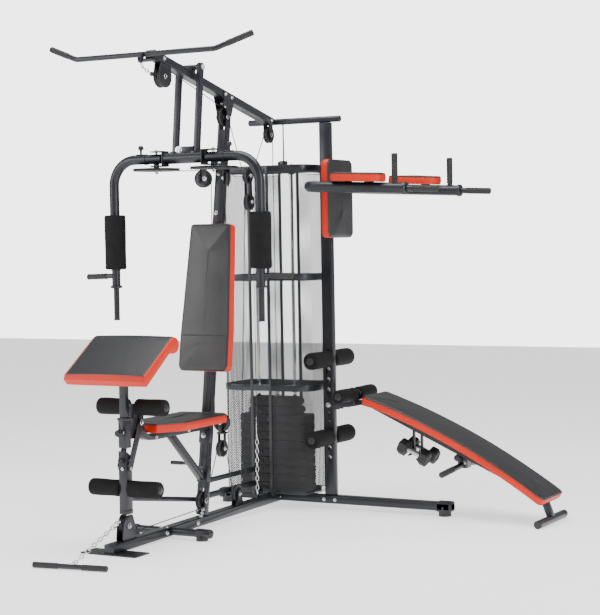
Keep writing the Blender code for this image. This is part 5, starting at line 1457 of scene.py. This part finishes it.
def bench_details():
    """The floor bar with its caps, the clamp's grips and knobs, and the bench's bolts."""
    bm = bmesh.new()
    x, z = BENCH_BAR
    rod(bm, (x, REAR_Y - 0.168, z), (x, REAR_Y + 0.168, z), 0.0183, 32)
    for side in (-1, 1):
        lathe(bm, mm((0, 0), (15, -0.4), (18.4, -4), (18.5, -40), (17.9, -42)),
              aim((x, REAR_Y + side * 0.1735, z), (0, side, 0)), 32, kind=1)
        start = Vector((CLAMP_X, REAR_Y + side * 0.028, 0.2465))
        tip = Vector((CLAMP_X, REAR_Y + side * 0.262, 0.23))
        lathe(bm, ribbed(0.0128, 0.128, 26), aim(tip, tip - start), 28, kind=2)
        rod(bm, start, start.lerp(tip, 0.6), 0.0128, 28)
        bolt(bm, (DIP_POST_X, REAR_Y + side * 0.021, 0.5), (0, side, 0), 0.009, 3)
    bolt(bm, (CLAMP_X + 0.012, REAR_Y - 0.026, 0.256), (0, -1, 0), 0.0058, 3)
    knob(bm, (CLAMP_X - 0.01, REAR_Y - 0.044, 0.282), (0, -1, 0), 0.0155, 0.02, 1, 7)
    knob(bm, (0.428, REAR_Y - 0.0145, 0.518), (0, -1, 0), 0.0125, 0.016, 1, 7)
    lathe(bm, mm((0, 2), (5.2, 2), (7, 0), (0, 0)), aim((1.405, REAR_Y, 0.0365), (0, 0, 1)), 18,
          kind=3)
    piece("bench_fittings", bm, ["slate", "plastic", "rubber", "zinc"], "bench")


def dumbbell(word, y):
    """A hexagonal dumbbell: a knurled, waisted grip between two six sided heads."""
    tilt = math.radians(24.0)
    along = Vector((math.cos(tilt), 0, -math.sin(tilt)))
    middle = Vector((0.752, y, 0.296))
    bm = bmesh.new()
    knurl = [(0.012 + 0.0006 * (k % 2) + 0.001 * math.cos((k - 9) / 9 * 1.4), 0.036 - 0.004 * k)
             for k in range(19)]
    profile = [(0, 0.04), (0.011, 0.04)] + knurl + [(0.011, -0.04), (0, -0.04)]
    lathe(bm, profile, aim(middle, along), 28, kind=1)
    for side in (-1, 1):
        place = aim(middle + along * side * 0.058, along * side) @ Matrix.Rotation(math.radians(30), 4, 'Z')
        lathe(bm, mm((0, 19.6), (15, 19.6), (16.5, 21.2), (27, 21.4), (28.5, 20), (33, 19.8), (40.5, 13),
                     (40.5, -15), (35, -20.5), (18, -22), (0, -22)), place, 6)
    name = f"dumbbell_{word}"
    piece(name + "_hex", bm, ["weight", "zinc"], name + "_body", [name], angle=24)


bench_details()
dumbbell("near", 1.349)
dumbbell("far", 1.449)


# ---- floor frame details ----

def floor_details():
    """The front stabilizer, all end caps and feet, the low pulley's cheeks and the beam's bolts."""
    bm = bmesh.new()
    y, z, half = 0.4, 0.031, 0.225
    rod(bm, (-half, y, z), (half, y, z), 0.017, 32)
    for side in (-1, 1):
        lathe(bm, mm((0, 5.8), (12, 5), (18, 1), (20.8, -8), (21, -70), (19.2, -74.5), (16.8, -75)),
              aim((side * half, y, z), (side, 0, 0)), 36, kind=1)
        lathe(bm, mm((18, 31), (22.5, 24), (25.5, 16), (27, 9), (27, 1.5), (25.5, 0), (0, 0)),
              moved(side * 0.178, y, 0), 36, kind=1)
    for x, toward in ((-0.325, 1), (0.92, -1)):
        around(bm, (x + toward * 0.035, REAR_Y), 0.04, 0.029, 0.021, 0.069, 0.011, 1, 4)
        lathe(bm, mm((20, 30), (25.5, 22), (28.5, 14), (30, 8), (30, 1.5), (28.5, 0), (0, 0)),
              moved(x + toward * 0.036, REAR_Y, 0), 40, kind=1)
    cheek = [(0.138, 0.044), (0.128, 0.105), (0.109, 0.15), (0.07, 0.15), (0.044, 0.118), (0.034, 0.044)]
    plate_pair(bm, rounded(cheek, 0.01, 5), 0.016, 0.0021, 0.0008)
    bolt_pairs(bm, 2, (0.0183, *LOW_PULLEY, 0.0084))
    for k in range(9):                  # the ribs of the foot plate
        around(bm, (-0.12 + 0.03 * k, 0), 0.0075, 0.044, 0.0055, 0.0066, 0.0004, 1)
    for x, y, z in ((0.0255, 0.36, 0.03), (0.0255, 0.44, 0.031), (0.0255, 0.61, 0.034), (0.02, 1.366, 0.045)):
        bolt(bm, (x, y, z), (1, 0, 0), 0.0075, 2)
    bolt(bm, (0.012, 0.655, 0.0548), (0, 0, 1), 0.0075, 2)
    for x in (-0.014, 0.014):
        bolt(bm, (x, 0.375, 0.0478), (0, 0, 1), 0.0068, 2)
    for x in (0.262, 0.321):
        bolt(bm, (x, REAR_Y - 0.0255, 0.045), (0, -1, 0), 0.0065, 2)
    piece("floor_fittings", bm, ["slate", "plastic", "zinc"], "root", ["front_stabilizer"])


def upright_details():
    """Domed bolts, gusset plates and cross pins along the leaning upright."""
    bm = bmesh.new()
    lean = Vector((0, math.sin(LEAN), math.cos(LEAN)))
    out = Vector((0, -math.cos(LEAN), math.sin(LEAN)))
    turn = Matrix((Vector((1, 0, 0)), lean, out)).transposed().to_4x4()

    def on_face(x, z, proud=0.0):
        return Vector((x, on_upright(z), z)) + out * (UP_DEPTH / 2 + proud)

    for z, height in ((0.41, 0.064), (0.24, 0.07)):
        place = moved(*on_face(0, z)) @ turn
        brick(bm, (-0.0255, -height / 2, 0.0), (0.0255, height / 2, 0.003), 0.001, place)
        for side in (-1, 1):
            brick(bm, (side * 0.025, -height / 2, -0.03), (side * 0.0274, height / 2, 0.003), 0.0008, place)
        bolt(bm, on_face(-0.004, z + 0.002, 0.003), out, 0.0088, 1)
    for x, z, size in ((-0.006, 1.42, 0.007), (-0.006, 1.6, 0.007), (-0.006, 1.646, 0.007),
                       (-0.012, 1.925, 0.0062), (0.012, 0.064, 0.0062), (-0.014, 0.083, 0.007),
                       (0.014, 0.083, 0.007)):
        bolt(bm, on_face(x, z), out, size, 1)
    for z in (0.515, 1.52):
        rod(bm, on_face(0.0, z, 0.0004), on_face(0.0, z, -0.004), 0.0048, 16, 0.0002, kind=2)
    bolt_pairs(bm, 1, (0.0255, *UPPER_SLOT, 0.0086), (0.0255, *LOWER_SLOT, 0.0086),
               (0.0165, *LAT_PULLEY, 0.0085), (0.0165, *REAR_TOP, 0.0076), (0.0165, *LOW_PULLEY, 0.0082),
               (0.0165, *REAR_LOW, 0.0082), (0.0255, 0.415, 2.086, 0.0062), (0.028, 0.918, 1.966, 0.0062),
               (0.028, 0.972, 1.953, 0.0062), (0.0255, 1.345, 1.868, 0.0058))
    saddle = [(0.93, 1.868), (0.966, 1.868), (0.992, 1.94), (0.988, 1.964), (0.904, 1.984), (0.9, 1.96)]
    plate_pair(bm, rounded(saddle, 0.006, 4), 0.0268, 0.0014, 0.0006)
    prism(bm, [(0.942, 1.924), (0.978, 1.92), (0.979, 1.938), (0.9435, 1.946)], -0.0246, 0.0246, X_PLANE)
    for side in (-1, 1):
        centre = Vector((side * PRESS_PULLEY[0], PRESS_PULLEY[1], PRESS_Z))
        for way in (-1, 1):
            bolt(bm, centre + press_axle(side) * way * 0.0168, press_axle(side) * way, 0.0072, 1)
    piece("frame_bolts", bm, ["slate", "zinc", "plastic"], "root")


def seat_details():
    """Knobs, collars and bolts of the seat frame, the leg lever and the preacher shelf."""
    bm = bmesh.new()
    front, lever_spot = (0, -1, 0), (0, LEVER_Y)
    knob(bm, (0, 0.059, 0.498), front, 0.0142, 0.0245, 0, 8)
    lathe(bm, mm((4.5, 4), (9, 4), (10.5, 0), (4.5, 0)),
          aim((0, LEVER_Y - 0.0185, 0.498), front), 24, closed=True, kind=1)
    around(bm, lever_spot, 0.0235, 0.021, 0.548, 0.56, 0.003, 0, 3)
    bolt_pairs(bm, 1, (0.0325, 0.171, 0.533, 0.0095), (0.0164, 0.153, 0.582, 0.0055),
               (0.019, 0.3, 0.4565, 0.0062), (0.019, 0.56, 0.4565, 0.0062))
    lathe(bm, ribbed(0.008, 0.06, 12, 0.0009), aim((-0.1042, 0.6, 0.3015), (-1, 0, 0)), 20)
    piece("seat_fittings", bm, ["plastic", "zinc"], "root")
    lever = bmesh.new()
    knob(lever, (0, LEVER_Y - 0.0205, 0.382), front, 0.011, 0.02, 0, 6)
    around(lever, lever_spot, 0.0215, 0.0215, 0.153, 0.172, 0.003, 0, 3)
    bolt(lever, (0.0, 0.0716, LEVER_PIVOT_Z), front, 0.008, 1)
    bolt_pairs(lever, 1, (0.029, LEVER_Y, LEVER_PIVOT_Z, 0.0062))
    piece("lever_fittings", lever, ["plastic", "zinc"], "leg_developer")
    shelf = bmesh.new()
    place = moved(0, 0.07, 0.7742) @ Matrix.Rotation(math.atan2(0.0859, 0.12), 4, 'X')
    for x in (-0.042, 0.042):
        for along in (-0.05, 0.05):
            bolt(shelf, place @ Vector((x, along, -0.0042)), place.to_3x3() @ Vector((0, 0, -1)), 0.0058)
    for z in (0.6, 0.65, 0.7):
        rod(shelf, (0, LEVER_Y - 0.0144, z), (0, LEVER_Y - 0.01, z), 0.0045, 16, 0.0002, kind=1)
    piece("shelf_fittings", shelf, ["zinc", "plastic"], "curl_desk")


def stack_details():
    """Chromed guide rods, their bumpers, the crossbar's hanger and the tray's rims."""
    bm = bmesh.new()
    for x in (-ROD_X, ROD_X):
        rod(bm, (x, REAR_Y, STACK_TOP + 0.094), (x, REAR_Y, 1.6185), 0.0083, 28)
        lathe(bm, mm((8.6, 10), (15, 9), (16.5, 6), (16.5, 0), (8.6, 0)),
              moved(x, REAR_Y, 1.6085), 28, closed=True, kind=1)
        bolt(bm, (x, REAR_Y, 1.6512), (0, 0, 1), 0.008, 0)
    rod(bm, (0.06, REAR_Y, 1.652), (0.06, REAR_Y, 1.85), 0.0034, 16, kind=2)
    around(bm, (0.06, REAR_Y), 0.014, 0.016, 1.6515, 1.675, 0.0025, 2)
    knob(bm, (0.046, REAR_Y, 1.664), (-1, 0, 0), 0.009, 0.016, 1, 5)
    for x0, x1 in ((-0.196, -0.07), (-0.046, 0.031), (0.055, 0.196)):
        for y in (1.313, 1.4715):
            brick(bm, (x0, y, 0.0665), (x1, y + 0.0035, 0.0925), 0.001, kind=2)
    piece("guide_rods", bm, ["chrome", "rubber", "slate"], "root")


floor_details()
upright_details()
seat_details()
stack_details()


# ---- the frame's own shapes, softened and finished ----

def widen_holes(bm, wide=1.5, rim=0.0085):
    """Opens the post's peg holes, whose CAD rims lie within a small distance, to their full size."""
    for z in (0.247, 0.296, 0.572, 0.621, 0.67):
        near = [v for v in bm.verts if math.hypot(v.co.x - DIP_POST_X, v.co.z - z) < rim]
        for vert in near:
            vert.co.x = DIP_POST_X + (vert.co.x - DIP_POST_X) * wide
            vert.co.z = z + (vert.co.z - z) * wide


for node in ("base_beam", "rear_stabilizer", "main_upright", "top_beam", "seat_frame", "leg_lever",
             "preacher_post", "rear_low_brace", "guide_frame", "shroud_frame", "bench_frame", "pull_up_bar",
             "leg_stop_bar"):
    refine(node)
refine("dip_post", widen_holes)
